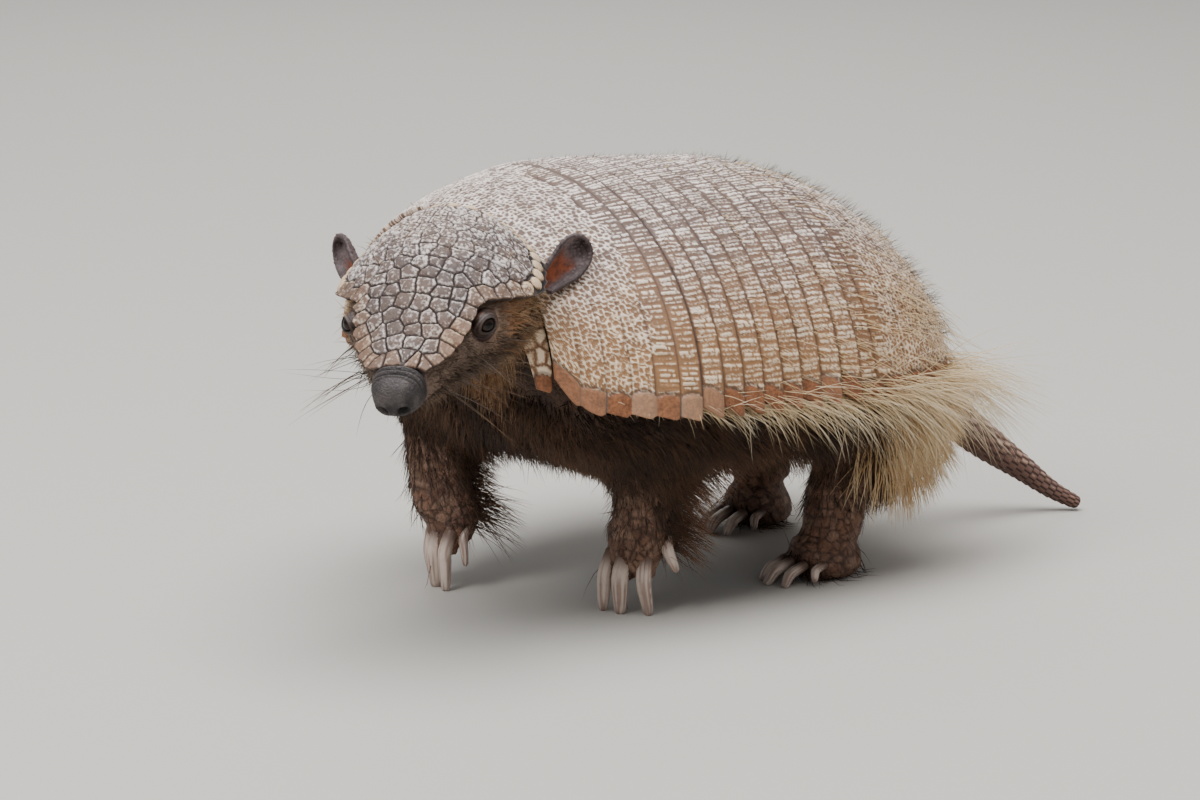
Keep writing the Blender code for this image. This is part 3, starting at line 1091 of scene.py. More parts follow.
            # painted shade: the first 1.3 mm and the last 0.8 mm of each band are darkened where
            # the step between bands shades them
            front, back = smoothstep(1.3, 0.4, ahead), smoothstep(0.8, 0.3, behind)
            dark = np.maximum(0.5 * front, 0.75 * back)
            return Relief(0.5 * ridge - 0.5 * dark, ridge, dark, tone, np.zeros_like(tone))
        long = 8.73 if self.pattern is Pattern.NET else 9.2
        streak, streak_tone = self.streaks(ahead / long, around, long)
        ridge, tone = self.net(points)
        inside = behind if self.pattern is Pattern.NET else ahead
        here = np.where(inside + 0.35 * wander < 17.0, 1.0, 0.0)
        ridge = np.where(here > 0.5, streak, ridge)
        tone = np.where(here > 0.5, streak_tone, tone)
        line = np.abs((ahead / long + 0.5) % 1.0 - 0.5) * long
        gap = smoothstep(0.5, 0.15, line) * np.maximum(0.6 * here, 0.5 * low) * (ahead > 3)
        if self.pattern is Pattern.NET:
            # painted shade along the shield's rear edge, where it meets the first band
            gap = np.maximum(gap, 0.9 * smoothstep(0.95, 0.35, behind))
        return Relief(0.55 * ridge - 0.4 * gap, ridge, gap, tone, np.zeros_like(tone))

    def margin(self, u: Array, rim: Array, side: Array, relief: Relief) -> None:
        """Lays the large smooth scutes of the rim over the relief.

        Args:
            u: the vertices' shares of the plate's length.
            rim: their distance from the rim in mm.
            side: which side of the body they are on.
            relief: the relief, which is changed.
        """
        pitch = (self.rear - self.front) / self.margin_count
        place = u * self.margin_count
        number = np.floor(np.minimum(place, self.margin_count - 1e-3))
        inside = (place - number) * pitch
        tone = chance(np.stack([number + 40 * side, number + round(self.front)], axis=1), 31)
        size = self.margin_size * (0.9 + 0.2 * tone)
        skew = inside + 0.12 * (size - rim)
        crown = 1.6 * (2 * inside / pitch - 1) ** 2
        edge = np.minimum(np.minimum(skew, pitch - inside), size - crown - rim)
        here = smoothstep(-0.1, 0.35, size - crown - rim)
        height = 1.25 * round_off(edge, 2.8) - 0.55
        relief.height[:] = relief.height * (1 - here) + height * here
        relief.tone[:] = relief.tone * (1 - here) + (0.4 + 0.6 * tone) * here
        relief.ridge[:] = relief.ridge * (1 - here) + tone * 0.8 * here
        joint = smoothstep(0.6, 0.15, np.maximum(edge, 0)) * here
        above = smoothstep(1.1, 0.1, np.abs(rim - size + crown - 0.4)) * 0.6
        relief.gap[:] = np.maximum(relief.gap * (1 - here) + joint, above)
        relief.margin[:] = smoothstep(0.1, 0.5, edge) * here

    def teeth(self, u: Array, rim: Array) -> Array:
        """How far each vertex hangs below the plain rim, which gives the margin its points.

        Args:
            u: the vertices' shares of the plate's length.
            rim: their distance from the rim in mm.

        Returns:
            One length in mm for each vertex.
        """
        place = u * self.margin_count
        share = place - np.floor(np.minimum(place, self.margin_count - 1e-3))
        point = np.where(share < 0.8, share / 0.8, (1 - share) / 0.2)
        return self.tooth * point * smoothstep(self.margin_size, 0.0, rim)

    def build(self, look: Material) -> Piece:
        """Makes the plate.

        Args:
            look: the finish of the bone.

        Returns:
            The piece.
        """
        sheet, u, y, t = self.lay_out()
        relief = self.small_scutes(y, t)
        points, normals = SHELL.bare(y, t), SHELL.normal(y, t)
        rim = SHELL.rim_distance(y, t) - SHELL.rim_distance(y, self.edge_t(y))
        self.margin(u, rim, np.sign(t), relief)
        hang = self.teeth(u, rim)
        outside, on_top = sheet.outside, sheet.sideways == 0
        lift = self.base + self.step * u + relief.height * (outside == 0) - sheet.depth
        points = points + normals * lift[:, None]
        points[:, 2] -= hang
        points[:, 2] += sheet.tuck * np.abs(sheet.sideways)
        points[:, 1] -= sheet.tuck * sheet.lengthways * on_top
        sheet.lay(points)
        warm = smoothstep(162, 100, points[:, 2]) * (0.75 + 0.25 * smoothstep(120, -60, y))
        if self.pattern is Pattern.COLLAR:
            warm = 0.5 + 0.5 * warm
        # the two outer rings that turn under the rim get painted shade
        mark(
            sheet.mesh, ridge=relief.ridge, gap=np.where(outside >= 2, 0.5, relief.gap),
            tone=relief.tone, margin=relief.margin, warm=warm,
        )
        sheet.close()
        return finished(sheet.mesh, f"{self.name}_scutes", "bone", look, self.name)


@dataclass
class Carapace:
    """The nuchal band, the shoulder shield, the movable bands and the rump shield."""

    band_count: int = 8
    band_front: float = -53.0
    band_pitch: float = 10.35
    plate_gap: float = 0.3
    collar_long: float = 10.0

    def plates(self) -> list[ArmourPlate]:
        """The plates from front to rear.

        Returns:
            The plates.
        """
        front, gap = SHELL.front, self.plate_gap
        collar = ArmourPlate(
            "nuchal_band", front - self.collar_long, front - gap, Pattern.COLLAR, reach=0.93,
            base=-3.6, taper=0.45, margin_size=6.5,
        )
        shoulder = ArmourPlate(
            "scapular_shield", front, self.band_front - gap, Pattern.NET, step=1.2, corner=0.11,
            margin_count=6,
        )
        starts = [self.band_front + self.band_pitch * i for i in range(self.band_count + 1)]
        bands = [
            ArmourPlate(
                f"band_{i + 1}", start, start + self.band_pitch - gap, Pattern.DASHES, step=1.2,
                bite=0.03,
            )
            for i, start in enumerate(starts[:-1])
        ]
        rump = ArmourPlate("pelvic_shield", starts[-1], SHELL.rear, Pattern.RUMP, margin_count=10)
        return [collar, shoulder, *bands, rump]

    def build(self) -> None:
        """Makes all the plates."""
        look = BoneFinish("shell_bone").build()
        for plate in self.plates():
            plate.build(look)


# --- head ----------------------------------------------------------------------------------


@dataclass
class HeadShield:
    """The plate over the crown: domed many-sided scutes with beads along its rear edges."""

    power: float = 2.1
    grid: float = 0.42
    spacing: float = 6.7
    margin_inset: float = 2.7
    span: tuple[float, float] = (104.0, 92.0)  # the way over the shield, along and across
    edge: Edge = ((2.6, 2.0), (1.8, 0.3), (0.7, -0.1))
    # distance ahead, half width, height of the crest, drop to the edge
    form: SmoothCurve = SmoothCurve(
        [
            (-8, 15, 22, 6),
            (-2, 28, 24.5, 15),
            (8, 38, 26, 22),
            (23, 41.5, 26, 24.5),
            (38, 33.5, 22.5, 16),
            (50, 24.5, 17.5, 7.5),
            (62, 22, 11.5, 6.5),
            (74, 17.5, 6, 4.5),
            (83.5, 11, 2.8, 2.2),
        ]
    )
    rear: float = -8.0
    front: float = 83.5

    def point(self, ahead: Array, across: Array) -> Array:
        """Points of the face, by mm ahead of the skull's back and by share across, -1 to 1.

        Args:
            ahead: distances ahead of the skull's back in mm.
            across: places across, from -1 to 1.

        Returns:
            One row for each pair.
        """
        half, crest, drop = np.moveaxis(self.form(ahead), -1, 0)
        return np.stack(
            [half * across, -ahead, crest - drop * np.abs(across) ** self.power], axis=-1
        )

    def normal(self, ahead: Array, across: Array) -> Array:
        """Outward normals for the same values as point.

        Args:
            ahead: distances ahead of the skull's back in mm.
            across: places across, from -1 to 1.

        Returns:
            One normal for each pair.
        """
        along = self.point(ahead + 0.4, across) - self.point(ahead - 0.4, across)
        side = self.point(ahead, across + 0.01) - self.point(ahead, across - 0.01)
        found = unit(np.cross(along, side))
        return found * np.where(found[..., 2:] < 0, -1.0, 1.0)

    def outline(self) -> Array:
        """The shield's outline in the head's frame, from the nose round the left side.

        Returns:
            The outline's points, one row each.
        """
        side = np.linspace(self.front, self.rear, 400)
        back = np.linspace(1.0, -1.0, 120)
        left = self.point(side, np.ones_like(side))
        rear = self.point(np.full_like(back, self.rear), back)
        right = self.point(side[::-1], -np.ones_like(side))
        front = self.point(np.full_like(back, self.front), -back)
        return np.concatenate([left, rear, right, front])

    def margin_centres(self) -> tuple[Array, Array]:
        """The centres of the scutes along the outline, and where each meets the outline.

        Returns:
            The centres and the places, one row each.
        """
        line = self.outline()
        run = running(steps_along(line))
        at, places = 0.0, []
        while at < run[-1] - 3.0:
            here = np.array([np.interp(at, run, line[:, k]) for k in range(3)])
            places.append(here)
            ahead = -here[1]
            at += 5.1 + 1.5 * float(smoothstep(6, 40, np.array(ahead)))
        rims = np.array(places)
        ahead, across = self.shares(rims)
        half = self.form(ahead)[:, 0]
        inward_x = np.clip(1 - self.margin_inset / half, 0.2, 1.0)
        near_end = smoothstep(10, 0, np.minimum(ahead - self.rear, self.front - ahead))
        across = across * np.where(np.abs(across) > 0.98, inward_x, 1.0)
        ahead = np.where(ahead < 30, ahead + self.margin_inset * near_end, ahead)
        ahead = np.where(ahead >= 30, ahead - self.margin_inset * near_end, ahead)
        return self.point(ahead, across), rims

    def shares(self, local: Array) -> tuple[Array, Array]:
        """The distance ahead and the place across of points near the shield.

        Args:
            local: points in the head's frame.

        Returns:
            The distances and the places, one for each point.
        """
        ahead = -local[:, 1]
        half = self.form(ahead)[:, 0]
        return ahead, np.clip(local[:, 0] / half, -1, 1)

    def field_centres(self, margin: Array) -> Array:
        """The centres of the scutes inside the margin.

        Args:
            margin: the centres of the margin's scutes.

        Returns:
            The other centres, in the head's frame.
        """
        rows = []
        ahead = self.rear + 4.0
        row = 0
        while ahead < self.front - 3.0:
            spacing = self.spacing - 1.0 * float(smoothstep(35, 0, np.array(ahead)))
            half = float(self.form(ahead)[0])
            count = int(half * 2 / spacing) + 1
            x = (np.arange(count) - (count - 1) / 2 + (0.5 if row % 2 else 0)) * spacing
            rows.append(np.stack([x, np.full_like(x, -ahead)], axis=1))
            ahead += spacing * 0.86
            row += 1
        flat = np.concatenate(rows)
        keys = np.round(flat * 10)
        flat = flat + (chances(keys, 41, 2) - 0.5) * 3.0
        ahead = -flat[:, 1]
        across = flat[:, 0] / self.form(ahead)[:, 0]
        kept = np.abs(across) < 1
        found = self.point(ahead[kept], across[kept])
        apart = np.linalg.norm(found[:, None] - margin[None], axis=2).min(axis=1)
        return found[apart > 4.0]

    def build(self, look: Material) -> Piece:
        """Makes the shield.

        Args:
            look: the finish of the bone.

        Returns:
            The piece.
        """
        along, around = (round(long / self.grid) for long in self.span)
        sheet = RimmedSheet("head_shield", along, around, self.edge)
        outside = sheet.outside
        ahead = self.rear + (self.front - self.rear) * sheet.row / along
        across = 2 * sheet.column / around - 1
        margin, rims = self.margin_centres()
        centres = np.concatenate([margin, self.field_centres(margin)])
        points, normals = self.point(ahead, across), self.normal(ahead, across)
        edge, index = Scutes(centres).at(points + 0.9 * sway(points, 3.0, 45))
        on_margin = index < len(margin)
        rearward = smoothstep(48, 10, ahead)
        beads = on_margin * smoothstep(34, 22, ahead)
        own = np.linalg.norm(points - centres[index], axis=1)
        edge = np.where(beads > 0.3, np.minimum(edge, 3.0 - own), edge)
        tone = scute_tone(index, (13, 37), 43)
        grain = self.granules(points)
        height = (1.45 - 0.5 * rearward + 0.5 * beads) * round_off(edge, 2.6 + 0.3 * beads)
        height += (0.16 + 0.3 * rearward) * grain * (1 - 0.8 * beads)
        reach = np.linalg.norm(points[:, None] - rims[None], axis=2).min(axis=1)
        lobes = 0.9 - 1.5 * smoothstep(0.0, 3.6, reach)
        from_rim = np.linalg.norm(points - self.nearest_rim(points), axis=1)
        bulge = lobes * smoothstep(2.6, 0.0, from_rim) * 0.8
        out = unit(points * np.array((1, 1, 0)) + np.array((0.0, 36.0, 0.0)))
        lift = (height - 0.75) * (outside == 0) - sheet.depth
        lift += (outside > 0) * 0.2
        points = points + normals * lift[:, None] + out * (bulge - sheet.tuck)[:, None]
        sheet.lay(HEAD.to_body(points))
        gap = smoothstep(0.5, 0.14, edge) * (1.0 - 0.3 * rearward * (1 - beads))
        pits = drift(points, 1.1, 49)
        ridge = 0.1 + 0.75 * grain * (0.35 + 0.65 * rearward) + 0.25 * (tone - 0.5)
        ridge += 0.7 * (pits - 0.5)
        ridge += 0.6 * beads + 0.3 * smoothstep(0.35, 0.8, edge) * smoothstep(1.5, 0.9, edge)
        front = smoothstep(50, 76, ahead) * (0.35 + 0.65 * on_margin) * tone
        warm = np.clip(0.18 + 0.5 * front + 0.75 * beads + 0.35 * on_margin, 0, 1)
        # the rings that turn under the shield's edge get painted shade
        mark(
            sheet.mesh, ridge=ridge, gap=np.where(outside >= 1, 0.8, np.clip(gap, 0, 1)),
            tone=(0.35 + 0.65 * tone) * (1 - 0.55 * smoothstep(28, 60, ahead)),
            margin=np.clip(0.45 * front * on_margin, 0, 1), warm=warm,
        )
        sheet.close()
        return finished(sheet.mesh, "head_scutes", "bone", look, "head_shield")

    def nearest_rim(self, points: Array) -> Array:
        """The nearest point of the outline to each point."""
        tree = tree_of(self.outline()[::3])
        return np.array([tree.find(point)[0] for point in points])

    def granules(self, points: Array) -> Array:
        """Small worn grains over the scutes, from 0 to 1.

        Args:
            points: places in mm.

        Returns:
            One height for each point.
        """
        long = np.arange(self.rear - 2, self.front + 2, 1.9)
        wide = np.arange(-46, 46, 1.9)
        x, ahead = (grid.ravel() for grid in np.meshgrid(wide, long))
        keys = np.round(np.stack([x, ahead], axis=1) * 10)
        x, ahead = np.stack([x, ahead]) + (chances(keys, 51, 2).T - 0.5) * 1.5
        across = x / self.form(ahead)[:, 0]
        kept = np.abs(across) < 1.1
        edge, index = Scutes(self.point(ahead[kept], across[kept])).at(points)
        worn = chance(np.stack([index, index], axis=1), 53)
        return smoothstep(0.0, 0.6, edge) * (0.25 + 0.75 * worn)


@dataclass(frozen=True)
class HideFinish:
    """Bare wrinkled skin: its colour, painted shade and highlight on folds, and a fine grain."""

    name: str
    colour: Colour
    dark: Colour
    light: Colour
    grain: float = 0.8
    depth: float = 0.2
    roughness: float = 0.6

    def build(self) -> Material:
        """Makes the material.

        Returns:
            The material.
        """
        s = Shading(self.name)
        speck = s.noise(self.grain, 4.0)
        cell = s.cells(self.grain * 1.5)
        colour = s.mottle(6.0, self.colour, self.light)
        # ridge: paler crests; on the nose and on the lids' fold crests this is painted highlight
        colour = s.blend(s.mark("ridge") * 0.8, colour, self.light)
        inner = s.mottle(3.0, tint(150, 74, 38), tint(96, 50, 34))
        colour = s.blend(s.mark("warm"), colour, inner)
        colour = s.shade(speck.between(0.35, 0.75) * 0.55, colour, 0.55)
        # gap: the ear's dark rim and the lids' dark margin are the skin's own colour; the nostrils
        # and the folds' valleys get painted shade
        colour = s.blend(s.mark("gap"), colour, self.dark)
        rough = self.roughness + (speck - 0.5) * 0.3
        bumps = s.bump(speck + (1 - cell) * 0.6, self.depth)
        return s.dress(colour, rough, bumps)


@dataclass
class Nose:
    """The bare pad with its nostrils and the folds behind it."""

    back: float = 78.0
    front: float = 96.4
    centre: float = -6.5
    half: tuple[float, float] = (9.9, 9.4)
    nostril: tuple[float, float, float] = (4.3, -95.6, -10.1)
    fold_pitch: float = 2.7

    def build(self) -> Piece:
        """Makes the nose.

        Returns:
            The piece.
        """
        sheet = Sheet("nose_pad", 88, 132)
        u, turn = sheet.u, sheet.v * 2 * math.pi
        bend = np.sin(u * math.pi / 2) ** 0.9
        ahead = self.back + (self.front - self.back) * bend
        share = (1 - bend**3.4) ** 0.42
        side, up = np.cos(turn), np.sin(turn)
        over = np.clip(up, 0, 1)
        wide = self.half[0] * (1.0 + 0.04 * np.abs(side))
        x = wide * share * np.sign(side) * np.abs(side) ** 0.86
        z = self.half[1] * share * np.sign(up) * np.abs(up) ** 0.86
        points = np.stack([x, -ahead, self.centre + z], axis=1)
        out = unit(np.stack([x, -(ahead - 86) * 1.1, z], axis=1))
        folds = np.cos((ahead - 87.6 + 1.2 * side**2) * 2 * math.pi / self.fold_pitch)
        where = smoothstep(80.5, 82.5, ahead) * smoothstep(90.8, 88.5, ahead) * over**0.5
        lift = 0.62 * folds * where - 0.5 * smoothstep(89.6, 90.4, ahead) * over * (ahead < 91)
        points += out * lift[:, None]
        dark = np.zeros_like(u)
        for place in (-1, 1):
            hole = np.array(self.nostril) * np.array((place, 1, 1))
            spread = (points - hole) * np.array((1.0, 0.75, 1.25))
            away = np.linalg.norm(spread, axis=1)
            rim = np.exp(-(((away - 3.3) / 0.9) ** 2))
            pit = smoothstep(3.0, 1.2, away)
            points += out * (0.45 * rim - 2.6 * pit)[:, None]
            # painted shade inside the nostrils
            dark = np.maximum(dark, smoothstep(2.7, 1.7, away))
        points[:, 2] -= 0.5 * smoothstep(3.0, 0.0, np.abs(x)) * smoothstep(92, 96, ahead)
        sink = 1.3 * smoothstep(82.0, self.back, ahead)
        points -= np.stack([x, np.zeros_like(x), z], axis=1) / 10.5 * sink[:, None]
        sheet.lay(HEAD.to_body(points))
        # painted shade in the folds' valleys
        fold_shade = where * smoothstep(0.0, -0.8, folds)
        # painted highlight on the pad's upper front and on the fold crests
        pale = 0.75 * over * smoothstep(84, 92, ahead) + 0.3 * where * (folds > 0)
        mark(sheet.mesh, gap=np.maximum(dark, fold_shade * 0.85), ridge=pale, warm=0 * u)
        sheet.close()
        look = HideFinish(
            "nose_hide", tint(30, 25, 25), tint(8, 6, 6), tint(78, 70, 69), grain=0.7, depth=0.5,
            roughness=0.6,
        ).build()
        return finished(sheet.mesh, "nose_pad", "nose", look, "nose")


@dataclass
class Ear:
    """A cupped leaf of beaded skin that opens forwards and outwards."""

    side: int
    name: str
    at: tuple[float, float, float] = (39.0, 9.0, -3.0)
    along: tuple[float, float, float] = (11.0, -18.0, 8.0)
    opens: tuple[float, float, float] = (0.62, 0.75, 0.15)
    length: float = 22.5
    half: float = 8.4
    cup: float = 4.2
    thick: float = 1.3
    bead_size: float = 1.45

    def build(self, look: Material) -> Piece:
        """Makes the ear.

        Args:
            look: the finish of its skin.

        Returns:
            The piece.
        """
        flip = np.array((self.side, -1.0, 1.0))
        axis = unit(np.array(self.along) * flip)
        opens = np.array(self.opens) * flip
        opens = unit(opens - axis * (opens @ axis))
        across = np.cross(axis, opens)
        root = np.array(self.at) * flip
        sheet = Sheet(f"ear_{self.name}", 64, 64)
        t, sideways = np.sin(sheet.u * math.pi / 2) * 1.06 - 0.06, 2 * sheet.v - 1
        broad = self.half * (0.5 + 0.95 * t) * np.sqrt(np.maximum(1 - np.abs(t) ** 3, 0)) * 0.9
        dip = self.cup * (1 - sideways**2) * (1 - 0.5 * t)
        curl = 1.3 * np.abs(sideways) ** 6 * smoothstep(0.0, 0.5, t)
        points = root + axis * (self.length * t)[:, None] + across * (broad * sideways)[:, None]
        points = points - opens * (dip - curl)[:, None]
        sheet.lay(HEAD.to_body(points))
        rim = np.maximum(np.abs(sideways), t)
        mark(
            sheet.mesh, ridge=0.0 * t, gap=smoothstep(0.86, 1.0, rim) * 0.45,
            warm=smoothstep(0.75, 0.45, rim),
        )
        with edited(sheet.mesh) as bm:
            bmesh.ops.remove_doubles(bm, verts=bm.verts, dist=MERGE * MM)
            bm.normal_update()
            facing = Vector(HEAD.way_to_body(opens))
            if sum(face.normal.dot(facing) for face in bm.faces) < 0:
                bmesh.ops.reverse_faces(bm, faces=bm.faces)
            inner = set(bm.faces)
            bmesh.ops.solidify(bm, geom=bm.faces[:], thickness=self.thick * MM)
            warm = bm.verts.layers.float["warm"]
            back = {vertex for face in bm.faces if face not in inner for vertex in face.verts}
            for vertex in back:
                vertex[warm] = 0.0
        self.bead(sheet.mesh)
        return finished(sheet.mesh, f"ear_skin_{self.name}", "ear", look, f"ear_{self.name}")

    def bead(self, mesh: Mesh) -> None:
        """Raises small beads all over the back and the rim.

        Args:
            mesh: the mesh.
        """
        points, normals = vertices_of(mesh), normals_of(mesh)
        warm, size = marked(mesh, "warm"), self.bead_size
        cell = np.floor(points / size)
        best = np.full(len(points), 9.0)
        for corner in np.ndindex(3, 3, 3):
            other = cell + np.array(corner) - 1
            centre = (other + 0.2 + 0.6 * chances(other, 60, 3)) * size
            best = np.minimum(best, np.linalg.norm(points - centre, axis=1))
        lift = 0.5 * smoothstep(0.85, 0.15, best) * (1 - 0.85 * warm)
        place_vertices(mesh, points + normals * lift[:, None])
        ridge = mesh.attributes["ridge"]
        ridge.data.foreach_set("value", (smoothstep(0.6, 0.2, best) * (1 - warm)).astype("f"))


@dataclass
class Eye:
    """An eyeball in its wrinkled lids."""

    side: int
    name: str
    at: tuple[float, float, float] = (25.6, 52.0, 2.9)
    radius: float = 4.2
    outward: tuple[float, float, float] = (0.68, 0.68, 0.25)
    opening: tuple[float, float] = (3.2, 2.6)
    skin_over: float = 0.35  # the least thickness of the lids over the eyeball

    def axes(self) -> tuple[Array, Array, Array, Array]:
        """The centre and the directions forwards, up and outwards, in the head's frame.

        Returns:
            The centre, forwards, up and outwards.
        """
        flip = np.array((self.side, -1.0, 1.0))
        out = unit(np.array(self.outward) * flip)
        ahead = np.array((0.0, -1.0, -0.12))
        ahead = unit(ahead - out * (ahead @ out))
        up = np.cross(out, ahead) * self.side
        if up[2] < 0:
            up = -up
        return np.array(self.at) * flip, ahead, up, out

    def build_globe(self) -> Piece:
        """Makes the eyeball, with the cornea's slight bulge.

        Returns:
            The piece.
        """
        centre, _, _, out = self.axes()
        mesh = bpy.data.meshes.new(f"eyeball_{self.name}")
        with edited(mesh) as bm:
            bmesh.ops.create_uvsphere(bm, u_segments=64, v_segments=40, radius=self.radius)
        points = read(mesh.vertices, "co")
        facing = unit(points) @ out
        points = points * (1 + 0.07 * smoothstep(0.72, 0.95, facing))[:, None]
        place_vertices(mesh, HEAD.to_body(centre + points))
        mark(mesh, iris=smoothstep(0.7, 0.86, facing), pupil=smoothstep(0.93, 0.97, facing))
        s = Shading(f"eye_{self.name}")
        colour = s.blend(s.mark("iris"), tint(26, 17, 14), tint(36, 20, 12))
        colour = s.blend(s.mark("pupil"), colour, tint(3, 2, 2))
        look = s.dress(colour, 0.05, specular=0.28)
        return finished(mesh, f"eyeball_{self.name}", "eye", look, f"eye_{self.name}")

    def build_lids(self, skin: BVHTree, look: Material) -> Piece:
        """Makes the lids as one ring of folds, from the eyeball out to the skin.

        Args:
            skin: the surface of the skin, to end on.
            look: the finish.

        Returns:
            The piece.
        """
        centre, ahead, up, out = self.axes()
        sheet = Sheet(f"lids_{self.name}", 56, 120)
        turn, u = sheet.v * 2 * math.pi, sheet.u
        cos, sin = np.cos(turn), np.sin(turn)
        slit = np.where(sin > 0, self.opening[1] * 0.92, self.opening[1] * 0.86)
        reach_x, reach_y = self.opening[0] + 4.4, np.where(sin > 0, 5.2, 7.0)
        grow = u**1.25
        x = (self.opening[0] * (1 - grow) + reach_x * grow) * cos
        y = (slit * (1 - grow) + reach_y * grow) * sin * (1 - 0.25 * (1 - grow) * np.abs(cos) ** 3)
        flat = np.sqrt(x * x + y * y)
        ball = np.sqrt(np.maximum(self.radius**2 - np.minimum(flat, self.radius * 0.96) ** 2, 0.3))
        lid = ball + 0.15 + 1.05 * smoothstep(0.0, 0.12, u) - 0.4 * smoothstep(0.25, 0.6, u)
        folds = np.cos((u * 4.2 - 0.15 + 0.15 * sin) * 2 * math.pi)
        lid += 0.34 * folds * smoothstep(0.16, 0.3, u) * smoothstep(1.0, 0.6, u)
        base = centre + ahead * x[:, None] + up * y[:, None]
        heights = np.empty_like(u)
        probe = HEAD.to_body(base + out * 30.0)
        way = Vector(-HEAD.way_to_body(out))
        for row, start in enumerate(probe):
            spot, _, _, length = skin.ray_cast(Vector((start - BODY_ORIGIN) * MM), way, 0.06)
            heights[row] = 30.0 - length / MM if spot is not None else 0.0
        blend = smoothstep(0.25, 0.9, u)
        rise = lid * (1 - blend) + (heights + 0.25) * blend
        rise -= 0.9 * smoothstep(0.88, 1.0, u)
        over = self.radius + self.skin_over
        cover = np.sqrt(np.maximum(over**2 - flat**2, 0.0))
        rise = np.where(flat < over, np.maximum(rise, cover), rise)
        rise = np.where(u < 0.02, ball - 0.6, rise)
        sheet.lay(HEAD.to_body(base + out * rise[:, None]))
        # ridge: painted highlight on the fold crests, and a paler band on the lower lid; gap: the
        # dark lid margin, and painted shade in the fold valleys
        mark(
            sheet.mesh,
            ridge=smoothstep(0.0, 1.0, folds) * smoothstep(0.15, 0.3, u) * 0.7
            + 0.6 * smoothstep(0.05, 0.1, u) * smoothstep(0.24, 0.14, u) * (sin < 0),
            gap=smoothstep(0.2, 0.05, u) * 0.8
            + 0.6 * smoothstep(-0.2, -1.0, folds) * smoothstep(0.16, 0.3, u) * (u < 0.85),
            warm=0.15 * smoothstep(0.5, 1.0, u),
        )
        sheet.close()
        return finished(sheet.mesh, f"eyelids_{self.name}", "hide", look)


class HeadPieces:
    """What the head carries apart from its skin."""

    def build(self, skin: Piece) -> None:
        """Makes the shield, the nose, the ears and the eyes.

        Args:
            skin: the animal's skin, which the lids end on.
        """
        bone = BoneFinish(
            "head_bone", pale=tint(222, 214, 212), pale_warm=tint(218, 188, 152),
            hollow=tint(92, 80, 77), hollow_warm=tint(132, 100, 78), joint=tint(30, 24, 25),
            margin=tint(168, 128, 102), fleck_size=0.8,
        ).build()
        HeadShield().build(bone)
        Nose().build()
        ear_look = HideFinish(
            "ear_hide", tint(74, 58, 58), tint(34, 24, 24), tint(120, 104, 104), grain=0.9,
            depth=0.12, roughness=0.62,
        ).build()
        lid_look = HideFinish(
            "lid_hide", tint(48, 36, 32), tint(10, 8, 7), tint(88, 70, 60), grain=0.6, depth=0.18,
            roughness=0.55,
        ).build()
        tree = BVHTree.FromObject(skin, bpy.context.evaluated_depsgraph_get())
        for side, name in ((1, "left"), (-1, "right")):
            Ear(side, name).build(ear_look)
            eye = Eye(side, name)
            eye.build_globe()
            eye.build_lids(tree, lid_look)


# --- skin ----------------------------------------------------------------------------------


def cell_edges(points: Array, size: float, seed: int) -> tuple[Array, Array]:
    """Irregular cells in space.

    Args:
        points: places in mm.
        size: about how wide a cell is in mm.
        seed: picks another pattern.

    Returns:
        The distance to the cell's edge in mm, and a steady random number for each cell.
    """
    scaled = points / size
    base = np.floor(scaled)
    near = np.full(len(points), 9.0)
    following = np.full(len(points), 9.0)
    tone = np.zeros(len(points))
    for corner in np.ndindex(3, 3, 3):
        other = base + np.array(corner) - 1
        jitter = chances(other, seed, 3)
        away = np.linalg.norm(scaled - other - 0.15 - 0.7 * jitter, axis=1)
        closer = away < near
        following = np.where(closer, near, np.minimum(following, away))
        tone = np.where(closer, jitter[:, 0], tone)
        near = np.where(closer, away, near)
    return (following - near) * size / 2, tone


